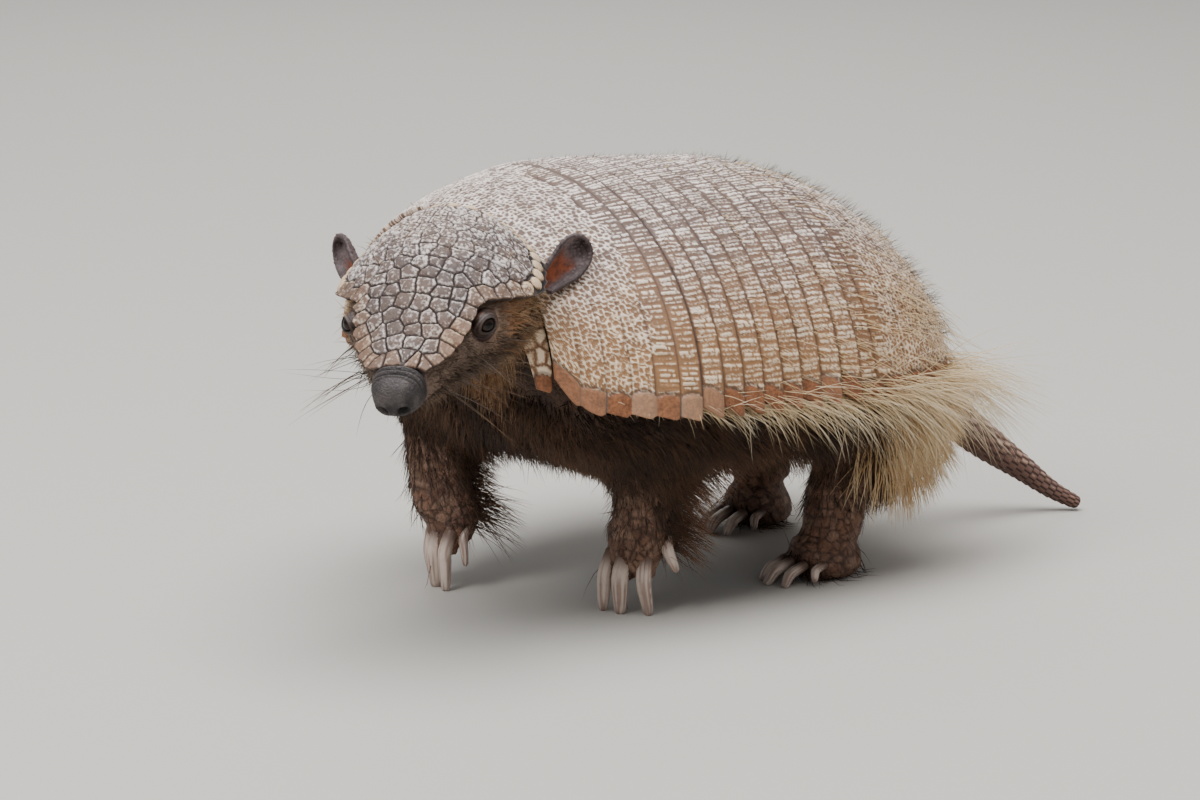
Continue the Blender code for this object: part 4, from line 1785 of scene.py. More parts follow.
class Regions:
    """Which part of the body each place on the skin belongs to, as weights from 0 to 1."""

    def __init__(self, points: Array) -> None:
        """Measures the places.

        Args:
            points: places on the skin in mm.
        """
        self.points = points
        self.local = HEAD.to_local(points)
        ahead = -self.local[:, 1]
        self.head = smoothstep(-6, 6, ahead) * smoothstep(60, 50, np.abs(self.local[:, 0]))
        self.head *= smoothstep(-46, -38, self.local[:, 2]) * (points[:, 1] < -112)
        self.legs = {}
        for name, limb in LEGS.items():
            share, size, turn = limb.nearest(points)
            own_side = np.sign(points[:, 0]) == np.sign(limb.curve(0.5)[0])
            below = smoothstep(84, 70, points[:, 2]) * own_side
            beyond = points[:, 1] < 0 if name.startswith("front") else points[:, 1] > 0
            weight = smoothstep(2.1, 1.25, size) * below * beyond
            self.legs[name] = (weight, share, turn)
        neck_share, neck_size, _ = NECK.nearest(points)
        self.neck = smoothstep(1.4, 1.1, neck_size) * smoothstep(0.15, 0.4, neck_share)
        self.neck *= 1 - self.head
        behind_eye = smoothstep(44, 34, ahead) * smoothstep(-22, -14, self.local[:, 2])
        self.nape = self.head * behind_eye
        self.leg = np.maximum.reduce([weight for weight, _, _ in self.legs.values()])
        self.share = np.zeros(len(points))
        for weight, share, _ in self.legs.values():
            self.share = np.where(weight > 0.02, share, self.share)
        self.foot = self.leg * smoothstep(34, 24, points[:, 2])
        self.paw = self.leg * smoothstep(46, 30, points[:, 2])

    def forearm(self, normals: Array) -> Array:
        """The bare, scaly front of the front legs, for each point and its normal.

        Args:
            normals: the skin's normals at the places.

        Returns:
            One weight for each place.
        """
        ahead = smoothstep(0.15, 0.7, -normals[:, 1] + 0.2 * normals[:, 0])
        low = smoothstep(66, 50, self.points[:, 2]) * (self.points[:, 1] < -10)
        return self.leg * ahead * low

    def coat_depth(self) -> Array:
        """How deep the skin lies under the coat's tips, in mm.

        Returns:
            One depth for each place.
        """
        leg = 3.2 * (1 - smoothstep(0.35, 0.85, self.share)) + 0.6
        depth = 5.0 * (1 - self.leg) + leg * self.leg
        depth = depth * (1 - self.neck) + 3.0 * self.neck
        depth = depth * (1 - self.head) + 0.7 * self.head
        return depth * (1 - self.paw)

    def lie(self) -> Array:
        """The way the coat lies at each place.

        Returns:
            One direction for each place.
        """
        points = self.points
        side = np.sign(points[:, 0])
        front = smoothstep(-80, -104, points[:, 1])
        way = np.stack([0.12 * side, 0.85 - 0.65 * front, -0.55 - 0.45 * front], axis=1)
        for name, (weight, share, _) in self.legs.items():
            along, _, _ = LEGS[name].axes(share)
            lean = np.array((0.0, 0.45 if name.startswith("hind") else 0.3, 0.0))
            way = way * (1 - weight[:, None]) + (along + lean) * weight[:, None]
        cheek = np.tile((0.25, 0.85, -0.5), (len(points), 1))
        cheek[:, 0] *= np.sign(self.local[:, 0])
        head = self.head[:, None]
        return unit(way * (1 - head) + HEAD.way_to_body(cheek) * head)

    def unwrap(self) -> Array:
        """Each place's spot on a flat map: the body in one half, the head and legs in the other.

        Returns:
            One row of u and v for each place.
        """
        points = self.points
        turn = np.arctan2(points[:, 0], points[:, 2] - 100) / (2 * math.pi) % 1.0
        flat = np.stack([0.02 + 0.46 * turn, 0.02 + 0.96 * (points[:, 1] + 125) / 260], axis=1)
        tiles = list(self.legs.items())
        for number, (_, (weight, share, round_)) in enumerate(tiles):
            left, low = 0.52 + 0.24 * (number % 2), 0.02 + 0.24 * (number // 2)
            spot = np.stack([left + 0.2 * round_, low + 0.2 * share], axis=1)
            flat = np.where(weight[:, None] > 0.3, spot, flat)
        spin = np.arctan2(self.local[:, 0], self.local[:, 2] + 5) / (2 * math.pi) % 1.0
        spot = np.stack([0.52 + 0.44 * spin, 0.52 + 0.44 * -self.local[:, 1] / 100], axis=1)
        flat = np.where(self.head[:, None] > 0.5, spot, flat)
        return np.clip(flat, 0.004, 0.996)


@dataclass
class Skin:
    """One skin for the trunk, the neck, the head, the legs and the feet."""

    voxel: float = 1.8
    merge: float = 0.01
    soft_rounds: int = 16
    scale: float = 4.4
    fine_scale: float = 2.6
    # a ball that fills the place under the tail: its centre and its half sizes
    rump: tuple[tuple[float, ...], ...] = ((0.0, 108.5, 87.0), (25.0, 12.0, 20.0))
    body_nodes: tuple[str, ...] = ("trunk", "neck", "head")

    def nodes(self) -> list[str]:
        """The frame's nodes that the skin stands for.

        Returns:
            The nodes' names.
        """
        names = list(self.body_nodes)
        for leg in LEGS:
            names += [f"upper_leg_{leg}", f"lower_leg_{leg}", f"foot_{leg}"]
        return names

    def toes(self, bm: Parts, foot: Foot) -> None:
        """Adds the toes of a foot, each a row of balls from the pad to the claw's first third.

        Args:
            bm: the parts to add to.
            foot: the foot.
        """
        centre = np.array(foot.pad()[0], float)
        for root, tip, width in foot.claws():
            root, tip = np.array(root, float), np.array(tip, float)
            start = root + (centre - root) * 0.35
            end = root + (tip - root) * (0.34 if foot.front else 0.3)
            for share in np.linspace(0, 1, 7):
                spot = start + (end - start) * share
                radius = width * (0.68 - 0.1 * share)
                spot[2] = max(spot[2], radius * 0.9)
                place = Vector((foot.place(spot[None])[0] - BODY_ORIGIN) * MM)
                bmesh.ops.create_icosphere(
                    bm, subdivisions=2, radius=radius * MM, matrix=Matrix.Translation(place)
                )

    def fill_joints(self, bm: Parts, limb: Limb) -> None:
        """Fills the creases of a leg's knee and ankle with a row of balls.

        Args:
            bm: the parts to add to.
            limb: the leg.
        """
        for share in np.linspace(0.3, 0.92, 12):
            x, y, z, wide, deep = limb.curve(share)
            self.ball(bm, (x, y, z), (wide * 0.96, deep * 0.9, 9.0))

    def ball(self, bm: Parts, at: Sequence[float], half: Sequence[float]) -> None:
        """Adds a stretched ball at a place and with half sizes in mm.

        Args:
            bm: the parts to add to.
            at: the ball's centre.
            half: its half sizes.
        """
        place = Vector((np.array(at) - BODY_ORIGIN) * MM)
        size = Matrix.Diagonal((*half, 1.0))
        turn = Matrix.Translation(place) @ size
        bmesh.ops.create_icosphere(bm, subdivisions=3, radius=MM, matrix=turn)

    def rough(self) -> Mesh:
        """Joins the nodes and the toes into one closed, even mesh.

        Returns:
            The mesh.
        """
        mesh = bpy.data.meshes.new("skin")
        with edited(mesh) as bm:
            for name in self.nodes():
                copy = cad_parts[name].data.copy()
                with edited(copy) as part:
                    bmesh.ops.remove_doubles(part, verts=part.verts, dist=self.merge * MM)
                bm.from_mesh(copy)
                bpy.data.meshes.remove(copy)
            for foot in FEET:
                self.toes(bm, foot)
            for limb in LEGS.values():
                self.fill_joints(bm, limb)
            self.ball(bm, *self.rump)
        mesh = self.remeshed(mesh)
        self.blend_joints(mesh)
        return mesh

    def blend_joints(self, mesh: Mesh) -> None:
        """Softens the steps where the limbs meet, away from the paws and the face.

        Args:
            mesh: the mesh.
        """
        regions = Regions(vertices_of(mesh))
        soft = (1 - regions.paw) * (1 - regions.head)
        axes = {f"use_axis_{axis}": True for axis in "xyz"}
        with edited(mesh) as bm:
            for low in (0.15, 0.5, 0.85):
                chosen = [bm.verts[i] for i in np.flatnonzero(soft > low)]
                for _ in range(self.soft_rounds):
                    bmesh.ops.smooth_vert(bm, verts=chosen, factor=0.5, **axes)

    def remeshed(self, mesh: Mesh) -> Mesh:
        """The mesh as one even, smoothed surface.

        Args:
            mesh: the mesh.

        Returns:
            The new mesh.
        """
        body = linked("skin_form", mesh)
        remesh = body.modifiers.new("join", "REMESH")
        remesh.mode = "VOXEL"
        remesh.voxel_size = self.voxel * MM
        smooth = body.modifiers.new("soften", "SMOOTH")
        smooth.factor = 0.5
        smooth.iterations = 6
        graph = bpy.context.evaluated_depsgraph_get()
        made = bpy.data.meshes.new_from_object(body.evaluated_get(graph))
        bpy.data.objects.remove(body)
        bpy.data.meshes.remove(mesh)
        return made

    def refine(self, mesh: Mesh) -> None:
        """Halves the faces of the feet, the wrists and the face.

        Args:
            mesh: the mesh.
        """
        regions = Regions(vertices_of(mesh))
        face = regions.head * smoothstep(30, 45, -regions.local[:, 1])
        wanted = np.maximum(np.maximum(regions.paw, face), regions.forearm(normals_of(mesh))) > 0.5
        with edited(mesh) as bm:
            edges = [e for e in bm.edges if all(wanted[end.index] for end in e.verts)]
            bmesh.ops.subdivide_edges(bm, edges=edges, cuts=1, use_grid_fill=True)
            bmesh.ops.triangulate(bm, faces=[f for f in bm.faces if len(f.verts) > 4])

    def shape(self, mesh: Mesh) -> None:
        """Sinks the skin under the coat, raises the scales and stores the marks.

        Args:
            mesh: the mesh.
        """
        points, normals = vertices_of(mesh), normals_of(mesh)
        regions = Regions(points)
        depth = regions.coat_depth()
        edge, tone = cell_edges(points, self.scale, 71)
        fine_edge, fine_tone = cell_edges(points, self.fine_scale, 81)
        forward = smoothstep(-0.35, 0.35, -normals[:, 1] + 0.4 * normals[:, 2])
        scaly = regions.paw * (0.45 + 0.55 * forward)
        scaly = np.maximum(scaly, 0.8 * regions.forearm(normals))
        lift = scaly * (0.75 * round_off(edge, 1.1) - 0.35)
        lift += 0.35 * regions.leg * (1 - regions.paw) * round_off(fine_edge, 0.7)
        wrinkle = drift(points * np.array((1.0, 1.0, 2.2)), 4.0, 91) - 0.5
        lift += 0.7 * wrinkle * (1 - scaly) * (1 - regions.head * 0.6)
        moved = points + normals * (lift - depth)[:, None]
        moved[:, 2] = np.maximum(moved[:, 2], 0.0)
        place_vertices(mesh, moved)
        local = regions.local
        ochre = np.exp(-(((-local[:, 1] - 42) / 9) ** 2 + ((local[:, 2] + 8) / 8) ** 2))
        ear = np.exp(-(((-local[:, 1] - 14) / 11) ** 2 + ((local[:, 2] + 4) / 10) ** 2))
        mark(
            mesh,
            gap=smoothstep(0.4, 0.05, edge) * scaly,
            tone=tone * regions.paw + fine_tone * (1 - regions.paw),
            pale=np.clip(np.maximum(regions.paw * 0.9, scaly) + 0.35 * regions.leg, 0, 1),
            scaly=scaly,
            warm=np.clip(0.6 * ochre * regions.head + 0.8 * ear + 0.7 * regions.nape, 0, 1)
            + 0.55 * regions.neck * (1 - regions.head),
            head=regions.head,
        )

    def build(self) -> Piece:
        """Makes the skin.

        Returns:
            The piece.
        """
        mesh = self.rough()
        self.refine(mesh)
        self.shape(mesh)
        s = Shading("hide")
        speck = s.noise(1.2, 4.0)
        cell = s.cells(2.4, "DISTANCE_TO_EDGE")
        colour = s.mottle(11, tint(58, 42, 34), tint(84, 62, 48))
        colour = s.blend(s.mark("head") * 0.75, colour, tint(134, 112, 98))
        foot = s.mottle(7, tint(122, 86, 66), tint(84, 54, 42))
        foot = s.blend(s.mark("tone") * 0.8, foot, tint(146, 116, 98))
        colour = s.blend(s.mark("pale"), colour, foot)
        colour = s.blend(s.mark("warm") * 0.8, colour, tint(178, 134, 94))
        colour = s.shade(speck.between(0.3, 0.75) * 0.6, colour, 0.5)
        colour = s.shade(s.mark("gap"), colour, 0.28)
        height = speck * 0.6 + cell.between(0.0, 0.22) * 0.8
        look = s.dress(colour, 0.72 - s.mark("pale") * 0.12, s.bump(height, 0.3), specular=0.35)
        return finished(mesh, "hide", "hide", look, *self.nodes())


# --- claws and tail ------------------------------------------------------------------------


@dataclass
class Claws:
    """The grooved, bowed claws of one foot."""

    foot: Foot
    grooves: int = 15
    rings: int = 7

    def one(self, root: Array, tip: Array, width: float, number: int) -> Mesh:
        """Makes one claw.

        Args:
            root: where it leaves the toe, in a left foot's frame.
            tip: its end.
            width: its width at the root.
            number: which claw it is.

        Returns:
            Its mesh.
        """
        bow = np.array((0.0, -CLAW_BOW, CLAW_BOW / 2))
        middle = (root + tip) / 2 + bow
        half = width / 2
        limb = Limb([
            (0.0, *root, half * 0.95, half * 0.85),
            (0.5, *middle, half, half * 0.82),
            (0.85, *(middle + (tip - middle) * 0.72), half * 0.78, half * 0.6),
            (1.0, *tip, half * 0.5, half * 0.42),
        ])
        sheet = Sheet(f"claw_{number}", 30, 36)
        u, v = sheet.u, sheet.v
        start = np.minimum(u / 0.06, 1.0)
        end = np.minimum((1 - u) / 0.07, 1.0)
        share = np.sqrt(1 - (1 - start) ** 2) * np.sqrt(1 - (1 - end) ** 2)
        grooves = np.cos(2 * math.pi * v * self.grooves + 3 * chance(np.array([[number]]), 5)[0])
        share = share * (1 + 0.022 * grooves * smoothstep(0.1, 0.3, u))
        growth = np.cos(u * 2 * math.pi * self.rings + 1.5 * np.sin(v * 12.6))
        share = share * (1 + 0.012 * growth)
        points = self.foot.place(limb.skin(u, v, share))
        points[:, 2] = np.maximum(points[:, 2], 0.0)
        sheet.lay(points)
        place = np.stack([np.full_like(u, number * 7.0), u * 3.0, v * 22.0], axis=1)
        mark(sheet.mesh, along=u, streak=drift(place, 1.0, 15), ridge=(grooves + 1) / 2)
        sheet.close()
        return sheet.mesh

    def build(self, look: Material) -> Piece:
        """Makes the foot's claws as one piece.

        Args:
            look: the finish.

        Returns:
            The piece.
        """
        joined = bpy.data.meshes.new("claws")
        with edited(joined) as bm:
            for number, (root, tip, width) in enumerate(self.foot.claws()):
                mesh = self.one(np.array(root, float), np.array(tip, float), width, number)
                bm.from_mesh(mesh)
                bpy.data.meshes.remove(mesh)
        names = [f"claw_{self.foot.name}_{i + 1}" for i in range(5)]
        return finished(joined, f"claws_{self.foot.name}", "horn", look, *names)

    @staticmethod
    def finish() -> Material:
        """The horn: pale and streaked, darker at the root and muddy at the tip.

        Returns:
            The material.
        """
        s = Shading("horn")
        streak = s.mark("streak").between(0.25, 0.75)
        colour = s.blend(streak, tint(206, 188, 174), tint(158, 134, 122))
        colour = s.blend(s.mark("along").between(0.42, 0.1), colour, tint(100, 78, 66))
        colour = s.shade(s.mark("along").between(0.75, 1.0) * 0.5, colour, 0.6)
        colour = s.shade(s.noise(2.0).between(0.5, 0.8) * 0.4, colour, 0.55)
        height = s.noise(0.5) * 0.5 + s.mark("streak")
        return s.dress(colour, 0.42 + s.noise(3) * 0.15, s.bump(height, 0.15), specular=0.45)


@dataclass
class Tail:
    """The tail with its rings of scutes."""

    start: float = 0.04  # the share of the tail's length that the shell hides
    pitch: tuple[float, float] = (5.6, 2.4)  # a ring's length at the root, and how much it loses
    ring_scutes: tuple[int, int] = (15, 9)  # how many scutes the first and the last ring have
    ring_count: int = 34

    def build(self) -> Piece:
        """Makes the tail.

        Returns:
            The piece.
        """
        sheet = Sheet("tail", 330, 96)
        u, v = sheet.u, sheet.v
        t = self.start + (1 - self.start) * u
        shares = np.linspace(0, 1, 400)
        pitch = self.pitch[0] - self.pitch[1] * shares[1:]
        phase = np.interp(t, shares, running(steps_along(TAIL.curve(shares)[:, :3]) / pitch))
        ring = np.floor(phase)
        f = phase - ring
        count = np.round(np.interp(ring, [0, self.ring_count], self.ring_scutes))
        place = v * count + 0.5 * (ring % 2)
        g = place - np.floor(place)
        size = TAIL.curve(t)[:, 3]
        across = (0.5 - np.abs(g - 0.5)) * 2 * math.pi * size / count
        pitch_here = np.interp(t, shares[1:], pitch)
        edge = np.minimum(across, np.minimum(f * 0.6 + 0.15, (1 - f) * 1.6) * pitch_here)
        tone = chance(np.stack([ring, np.floor(place) % count], axis=1), 61)
        rise = (0.25 + 0.75 * f) * smoothstep(1.0, 0.9, f)
        lift = (1.25 * rise * round_off(edge, 1.3) - 0.5) * (0.45 + 0.55 * smoothstep(1.0, 0.4, t))
        end = np.sqrt(1 - (1 - np.minimum((1 - u) / 0.02, 1.0)) ** 2)
        points = TAIL.skin(t, v, end)
        out = unit(points - TAIL.curve(t)[:, :3] + 1e-6)
        points = points + out * (lift * end)[:, None]
        points[:, 2] = np.maximum(points[:, 2], 0.0)
        up = out[:, 2]
        sheet.lay(points)
        # painted light: ridge fades out on the underside and gap darkens it, by which way the
        # surface faces
        mark(
            sheet.mesh,
            ridge=smoothstep(0.3, 1.4, edge) * (0.35 + 0.65 * tone) * smoothstep(-0.6, 0.6, up),
            gap=np.clip(smoothstep(0.55, 0.1, edge) + 0.4 * smoothstep(0.1, -0.8, up), 0, 1),
            tone=0.3 + 0.7 * tone, margin=0.0 * u,
            warm=np.clip(smoothstep(0.4, 0.1, t) + 0.1, 0, 1),
        )
        sheet.close()
        look = BoneFinish(
            "tail_bone", pale=tint(168, 142, 126), pale_warm=tint(206, 160, 118),
            hollow=tint(112, 84, 76), hollow_warm=tint(142, 92, 60), joint=tint(44, 32, 30),
        ).build()
        return finished(sheet.mesh, "tail_scutes", "tail", look, "tail")


# --- coat ----------------------------------------------------------------------------------


@dataclass(frozen=True)
class HairFinish:
    """Hair that changes from root to tip and from strand to strand."""

    name: str
    root: Colour
    tip: Colour
    other: Colour
    roughness: float = 0.5

    def build(self) -> Material:
        """Makes the material.

        Returns:
            The material.
        """
        s = Shading(self.name)
        colour = s.blend(s.mark("along"), self.root, self.tip)
        colour = s.blend(s.mark("shade"), colour, self.other)
        return s.dress(colour, self.roughness, specular=0.35)


@dataclass(frozen=True)
class HairKind:
    """How one kind of hair grows. Lengths are in mm."""

    length: tuple[float, float]
    width: float
    joints: int
    rise: float = 0.35  # how far it stands out of the skin, against how far it runs along it
    stray: float = 0.2
    droop: float = 0.2
    wave: float = 0.15


@dataclass
class Strands:
    """Tapered solid strands, joined into one piece."""

    kind: HairKind
    seed: int
    sides: int = 3
    patch: float = 0.003  # how large a strand is on the skin's flat map

    def __post_init__(self) -> None:
        """Starts the strands' own random numbers."""
        self.random = np.random.default_rng(self.seed)

    def grow(self, roots: Array, normals: Array, ways: Array, scale: Array | float = 1.0) -> Array:
        """Lets strands grow from their roots.

        Args:
            roots: places in mm.
            normals: the way out of the skin at each.
            ways: the way the coat lies at each.
            scale: longer or shorter than usual.

        Returns:
            The joints of each strand, from the root to the tip.
        """
        kind, count = self.kind, len(roots)
        low, high = kind.length
        lengths = (low + (high - low) * self.random.random(count) ** 1.3) * scale
        way = unit(ways + normals * kind.rise)
        stray = kind.stray * self.random.gamma(1.6, 0.62, count)[:, None]
        way = unit(way + self.random.normal(0, 1.0, (count, 3)) * stray)
        curl = self.random.normal(0, kind.wave, (count, 3))
        lines = np.empty((count, kind.joints + 1, 3))
        lines[:, 0] = roots
        step = (lengths / kind.joints)[:, None]
        for joint in range(kind.joints):
            lines[:, joint + 1] = lines[:, joint] + way * step
            pull = np.array((0.0, 0.0, -kind.droop)) + curl * math.cos(2.2 * joint / kind.joints)
            way = unit(way + pull * 2.0 / kind.joints)
        lines[..., 0] = np.clip(lines[..., 0], -BODY_REACH, BODY_REACH)
        lines[..., 2] = np.maximum(lines[..., 2], GROUND_GAP)
        return lines

    def mesh(self, name: str, lines: Array, spots: Array, shade: Array) -> Mesh:
        """Makes the solid strands.

        Args:
            name: the mesh's name.
            lines: the joints of each strand in mm.
            spots: the place of each root on the skin's flat map.
            shade: how much of the other colour each strand has.

        Returns:
            The joined mesh, with its marks and its map.
        """
        count, joints = len(lines), lines.shape[1] - 1
        along = unit(np.gradient(lines, axis=1))
        first = unit(np.cross(along, np.array((0.31, 0.52, 0.79))))
        second = np.cross(along, first)
        share = np.arange(joints) / joints
        width = self.kind.width / 2 * (0.75 + 0.5 * self.random.random(count))
        radius = width[:, None] * (1 - share**1.7)[None]
        rings = []
        for side in range(self.sides):
            angle = 2 * math.pi * side / self.sides
            arm = first[:, :-1] * math.cos(angle) + second[:, :-1] * math.sin(angle)
            rings.append(lines[:, :-1] + arm * radius[..., None])
        body = np.stack(rings, axis=2).reshape(count, joints * self.sides, 3)
        points = np.concatenate([body, lines[:, -1:]], axis=1)
        each = points.shape[1]
        quads, caps = [], []
        for joint in range(joints - 1):
            for side in range(self.sides):
                after = (side + 1) % self.sides
                low, high = joint * self.sides, (joint + 1) * self.sides
                quads.append((low + side, low + after, high + after, high + side))
        for side in range(self.sides):
            low = (joints - 1) * self.sides
            caps.append((low + side, low + (side + 1) % self.sides, each - 1))
        caps.append((2, 1, 0))
        offset = np.arange(count)[:, None] * each
        corners = np.array([corner for face in quads + caps for corner in face])
        index = (offset + corners[None]).ravel()
        sizes = np.array([4] * len(quads) + [3] * len(caps))
        starts = running(sizes)
        mesh = bpy.data.meshes.new(name)
        mesh.vertices.add(count * each)
        mesh.loops.add(len(index))
        mesh.polygons.add(count * len(sizes))
        mesh.vertices.foreach_set("co", ((points.reshape(-1, 3) - BODY_ORIGIN) * MM).ravel())
        mesh.loops.foreach_set("vertex_index", index)
        begin = np.arange(count)[:, None] * starts[-1] + starts[:-1][None]
        mesh.polygons.foreach_set("loop_start", begin.ravel())
        mesh.update(calc_edges=True)
        height = np.concatenate([np.repeat(share, self.sides), [1.0]])
        turn = np.concatenate([np.tile(np.arange(self.sides) / self.sides, joints), [0.5]])
        mark(mesh, along=np.tile(height, count), shade=np.repeat(shade, each))
        flat = np.repeat(spots, each, axis=0)
        patch = np.stack([np.tile(turn, count) - 0.5, np.tile(height, count) - 0.5], axis=1)
        flat = flat + patch * self.patch
        layer = mesh.uv_layers.new(name="OFBake")
        layer.data.foreach_set("uv", flat[index].astype(np.float32).ravel())
        return mesh


class Roots:
    """Random places on the skin."""

    def __init__(self, skin: Piece) -> None:
        """Reads the skin's triangles.

        Args:
            skin: the skin's piece.
        """
        mesh = skin.data
        mesh.calc_loop_triangles()
        self.corners = read(mesh.loop_triangles, "vertices", kind=int)
        self.points, self.normals = vertices_of(mesh), normals_of(mesh)
        a, b, c = (self.points[self.corners[:, k]] for k in range(3))
        self.areas = np.linalg.norm(np.cross(b - a, c - a), axis=1) / 2
        self.regions = Regions(self.points)

    def pick(self, count: int, density: Array, seed: int) -> tuple[Array, Array]:
        """Picks places, more of them where the density is higher.

        Args:
            count: how many.
            density: one number for each vertex of the skin.
            seed: for the choice.

        Returns:
            The places in mm and the skin's normals there.
        """
        random = np.random.default_rng(seed)
        weights = self.areas * density[self.corners].mean(axis=1)
        faces = random.choice(len(weights), count, p=weights / weights.sum())
        mix = random.dirichlet((1, 1, 1), count)[..., None]
        chosen = self.corners[faces]
        points = (self.points[chosen] * mix).sum(axis=1)
        return points, unit((self.normals[chosen] * mix).sum(axis=1))


class Coat:
    """The animal's hair."""

    counts = {"belly": 6500, "front_legs": 9300, "hind_legs": 7000, "jaw": 3800, "face": 6500,
              "neck": 6800, "elbows": 1800, "thighs": 4700, "fringe": 1900, "bands": 1100,
              "bristles": 3600, "whiskers": 44}
    fringe_reach = (-88, 118)  # the first and the last station
    lid_centre = (25.2, -52.5, 2.0)
    kinds = {
        "belly": HairKind((9, 21), 0.36, 3, 0.3, 0.26, 0.3),
        "front_legs": HairKind((4, 11), 0.32, 3, 0.24, 0.22, 0.15),
        "hind_legs": HairKind((4, 10), 0.32, 3, 0.24, 0.22, 0.12),
        "jaw": HairKind((4, 10), 0.34, 3, 0.3, 0.25, 0.3),
        "face": HairKind((1.6, 4.6), 0.26, 2, 0.3, 0.2, 0.1),
        "neck": HairKind((4, 11), 0.32, 3, 0.3, 0.2, 0.2),
    }

    def __init__(self, skin: Piece) -> None:
        """Measures where hair can grow.

        Args:
            skin: the skin's piece.
        """
        self.roots = Roots(skin)
        points, regions = self.roots.points, self.roots.regions
        y, z = points[:, 1], points[:, 2]
        rim = SHELL.rim(y)
        under_shell = (y < 112) * (y > SHELL.front - 8) * smoothstep(rim - 1, rim + 4, z)
        self.open = (1 - under_shell * (1 - regions.head) * (1 - regions.neck)) * (z > 1.0)

    def piece(
        self, name: str, kind: HairKind, look: HairFinish, strands: tuple[Array, Array, Array],
        seed: int, scale: Array | float = 1.0, patchy: float = 14.0,
    ) -> Piece:
        """Grows one piece of the coat.

        Args:
            name: the piece's name.
            kind: the kind of hair.
            look: its finish.
            strands: the roots, the normals and the ways.
            seed: for the strands' differences.
            scale: longer or shorter, for each strand.
            patchy: how wide the patches of lighter and darker hair are in mm.

        Returns:
            The piece.
        """
        points, normals, ways = strands
        grower = Strands(kind, seed)
        lines = grower.grow(points, normals, ways, scale)
        shade = 0.55 * drift(points, patchy, seed) + 0.45 * grower.random.random(len(points))
        shade = smoothstep(0.25, 0.8, shade)
        mesh = grower.mesh(name, lines, Regions(points).unwrap(), shade)
        return finished(mesh, name, "hide", look.build())

    def skin_coat(
        self, name: str, count: int, density: Array, kind: HairKind, look: HairFinish, seed: int
    ) -> Piece:
        """Grows hair all over a part of the skin, the way the coat lies.

        Args:
            name: the piece's name.
            count: how many strands.
            density: where they grow, for each vertex of the skin.
            kind: the kind of hair.
            look: its finish.
            seed: for their places.

        Returns:
            The piece.
        """
        points, normals = self.roots.pick(count, density * self.open, seed)
        ways = Regions(points).lie()
        sunk = np.minimum((ways * normals).sum(axis=1), 0.0)
        ways = unit(ways - normals * sunk[:, None])
        return self.piece(name, kind, look, (points, normals, ways), seed)

    def build(self) -> None:
        """Grows the whole coat."""
        regions, points = self.roots.regions, self.roots.points
        brown = HairFinish("belly_hair", tint(22, 14, 11), tint(124, 88, 60), tint(44, 30, 23))
        leg = HairFinish("leg_hair", tint(24, 16, 13), tint(128, 96, 72), tint(56, 40, 32))
        face = HairFinish("face_hair", tint(84, 66, 54), tint(178, 158, 134), tint(98, 78, 62))
        trunk = (1 - regions.leg) * (1 - regions.head) * (1 - regions.neck)
        for side, name in ((1, "left"), (-1, "right")):
            half = trunk * (points[:, 0] * side > 0)
            row = (self.counts["belly"], half, self.kinds["belly"], brown, 100 + side)
            self.skin_coat(f"coat_belly_{name}", *row)
        y, z = points[:, 1], points[:, 2]
        bare = smoothstep(0.95, 0.55, regions.share) * 0.85 + 0.15
        cover = regions.leg * bare * (1 - 0.85 * regions.foot)
        shaggy = 1 - 0.8 * regions.forearm(self.roots.normals)
        local = regions.local
        muzzle = regions.head * smoothstep(84, 74, -local[:, 1])
        lids = np.ones(len(points))
        for side in (1, -1):
            eye = np.array(self.lid_centre) * np.array((side, 1, 1))
            lids *= smoothstep(6.5, 9.5, np.linalg.norm(local - eye, axis=1))
        jaw = smoothstep(-3, -13, local[:, 2])
        cheek = regions.head * smoothstep(47, 40, -local[:, 1]) * (1 - jaw)
        before_shell = smoothstep(SHELL.front - 5, SHELL.front - 9, y) * smoothstep(80, 95, z)
        before_shell *= 3.0 * (1 - regions.head)
        neck = np.maximum.reduce([regions.neck, regions.nape, cheek, before_shell])
        under = HairFinish("jaw_hair", tint(52, 38, 30), tint(140, 112, 84), tint(72, 54, 42))
        straw = HairFinish("neck_hair", tint(118, 86, 58), tint(216, 186, 142), tint(136, 92, 58))
        legs_front = cover * shaggy * (y < 0) * (z > 24)
        places = {
            "front_legs": (legs_front, leg, 102), "hind_legs": (cover * (y > 0), leg, 103),
            "jaw": (muzzle * jaw, under, 111),
            "face": (muzzle * lids * (1 - 0.7 * jaw) * (1 - cheek), face, 104),
            "neck": (neck, straw, 105),
        }
        for name, (where, look, seed) in places.items():
            row = (self.counts[name], where, self.kinds[name], look, seed)
            self.skin_coat(f"coat_{name}", *row)
        self.elbows()
        self.thigh()
        self.fringe()
        self.band_hair()
        self.bristles()
        self.whiskers()

    def elbows(self) -> None:
        """The long reddish hair that sweeps back from the front legs."""
        regions, points = self.roots.regions, self.roots.points
        behind = smoothstep(-0.1, 0.6, self.roots.normals[:, 1]) * (points[:, 1] < -10)
        high = smoothstep(20, 34, points[:, 2]) * smoothstep(86, 74, points[:, 2])
        look = HairFinish("elbow_hair", tint(40, 26, 18), tint(152, 108, 74), tint(78, 50, 34))
        kind = HairKind((12, 27), 0.32, 5, 0.35, 0.24, 0.2, 0.14)
        roots, normals = self.roots.pick(self.counts["elbows"], regions.leg * behind * high, 112)
        ways = np.tile(unit(np.array((0.05, 0.85, -0.5))), (len(roots), 1))
        self.piece("coat_elbows", kind, look, (roots, normals, ways), 112)

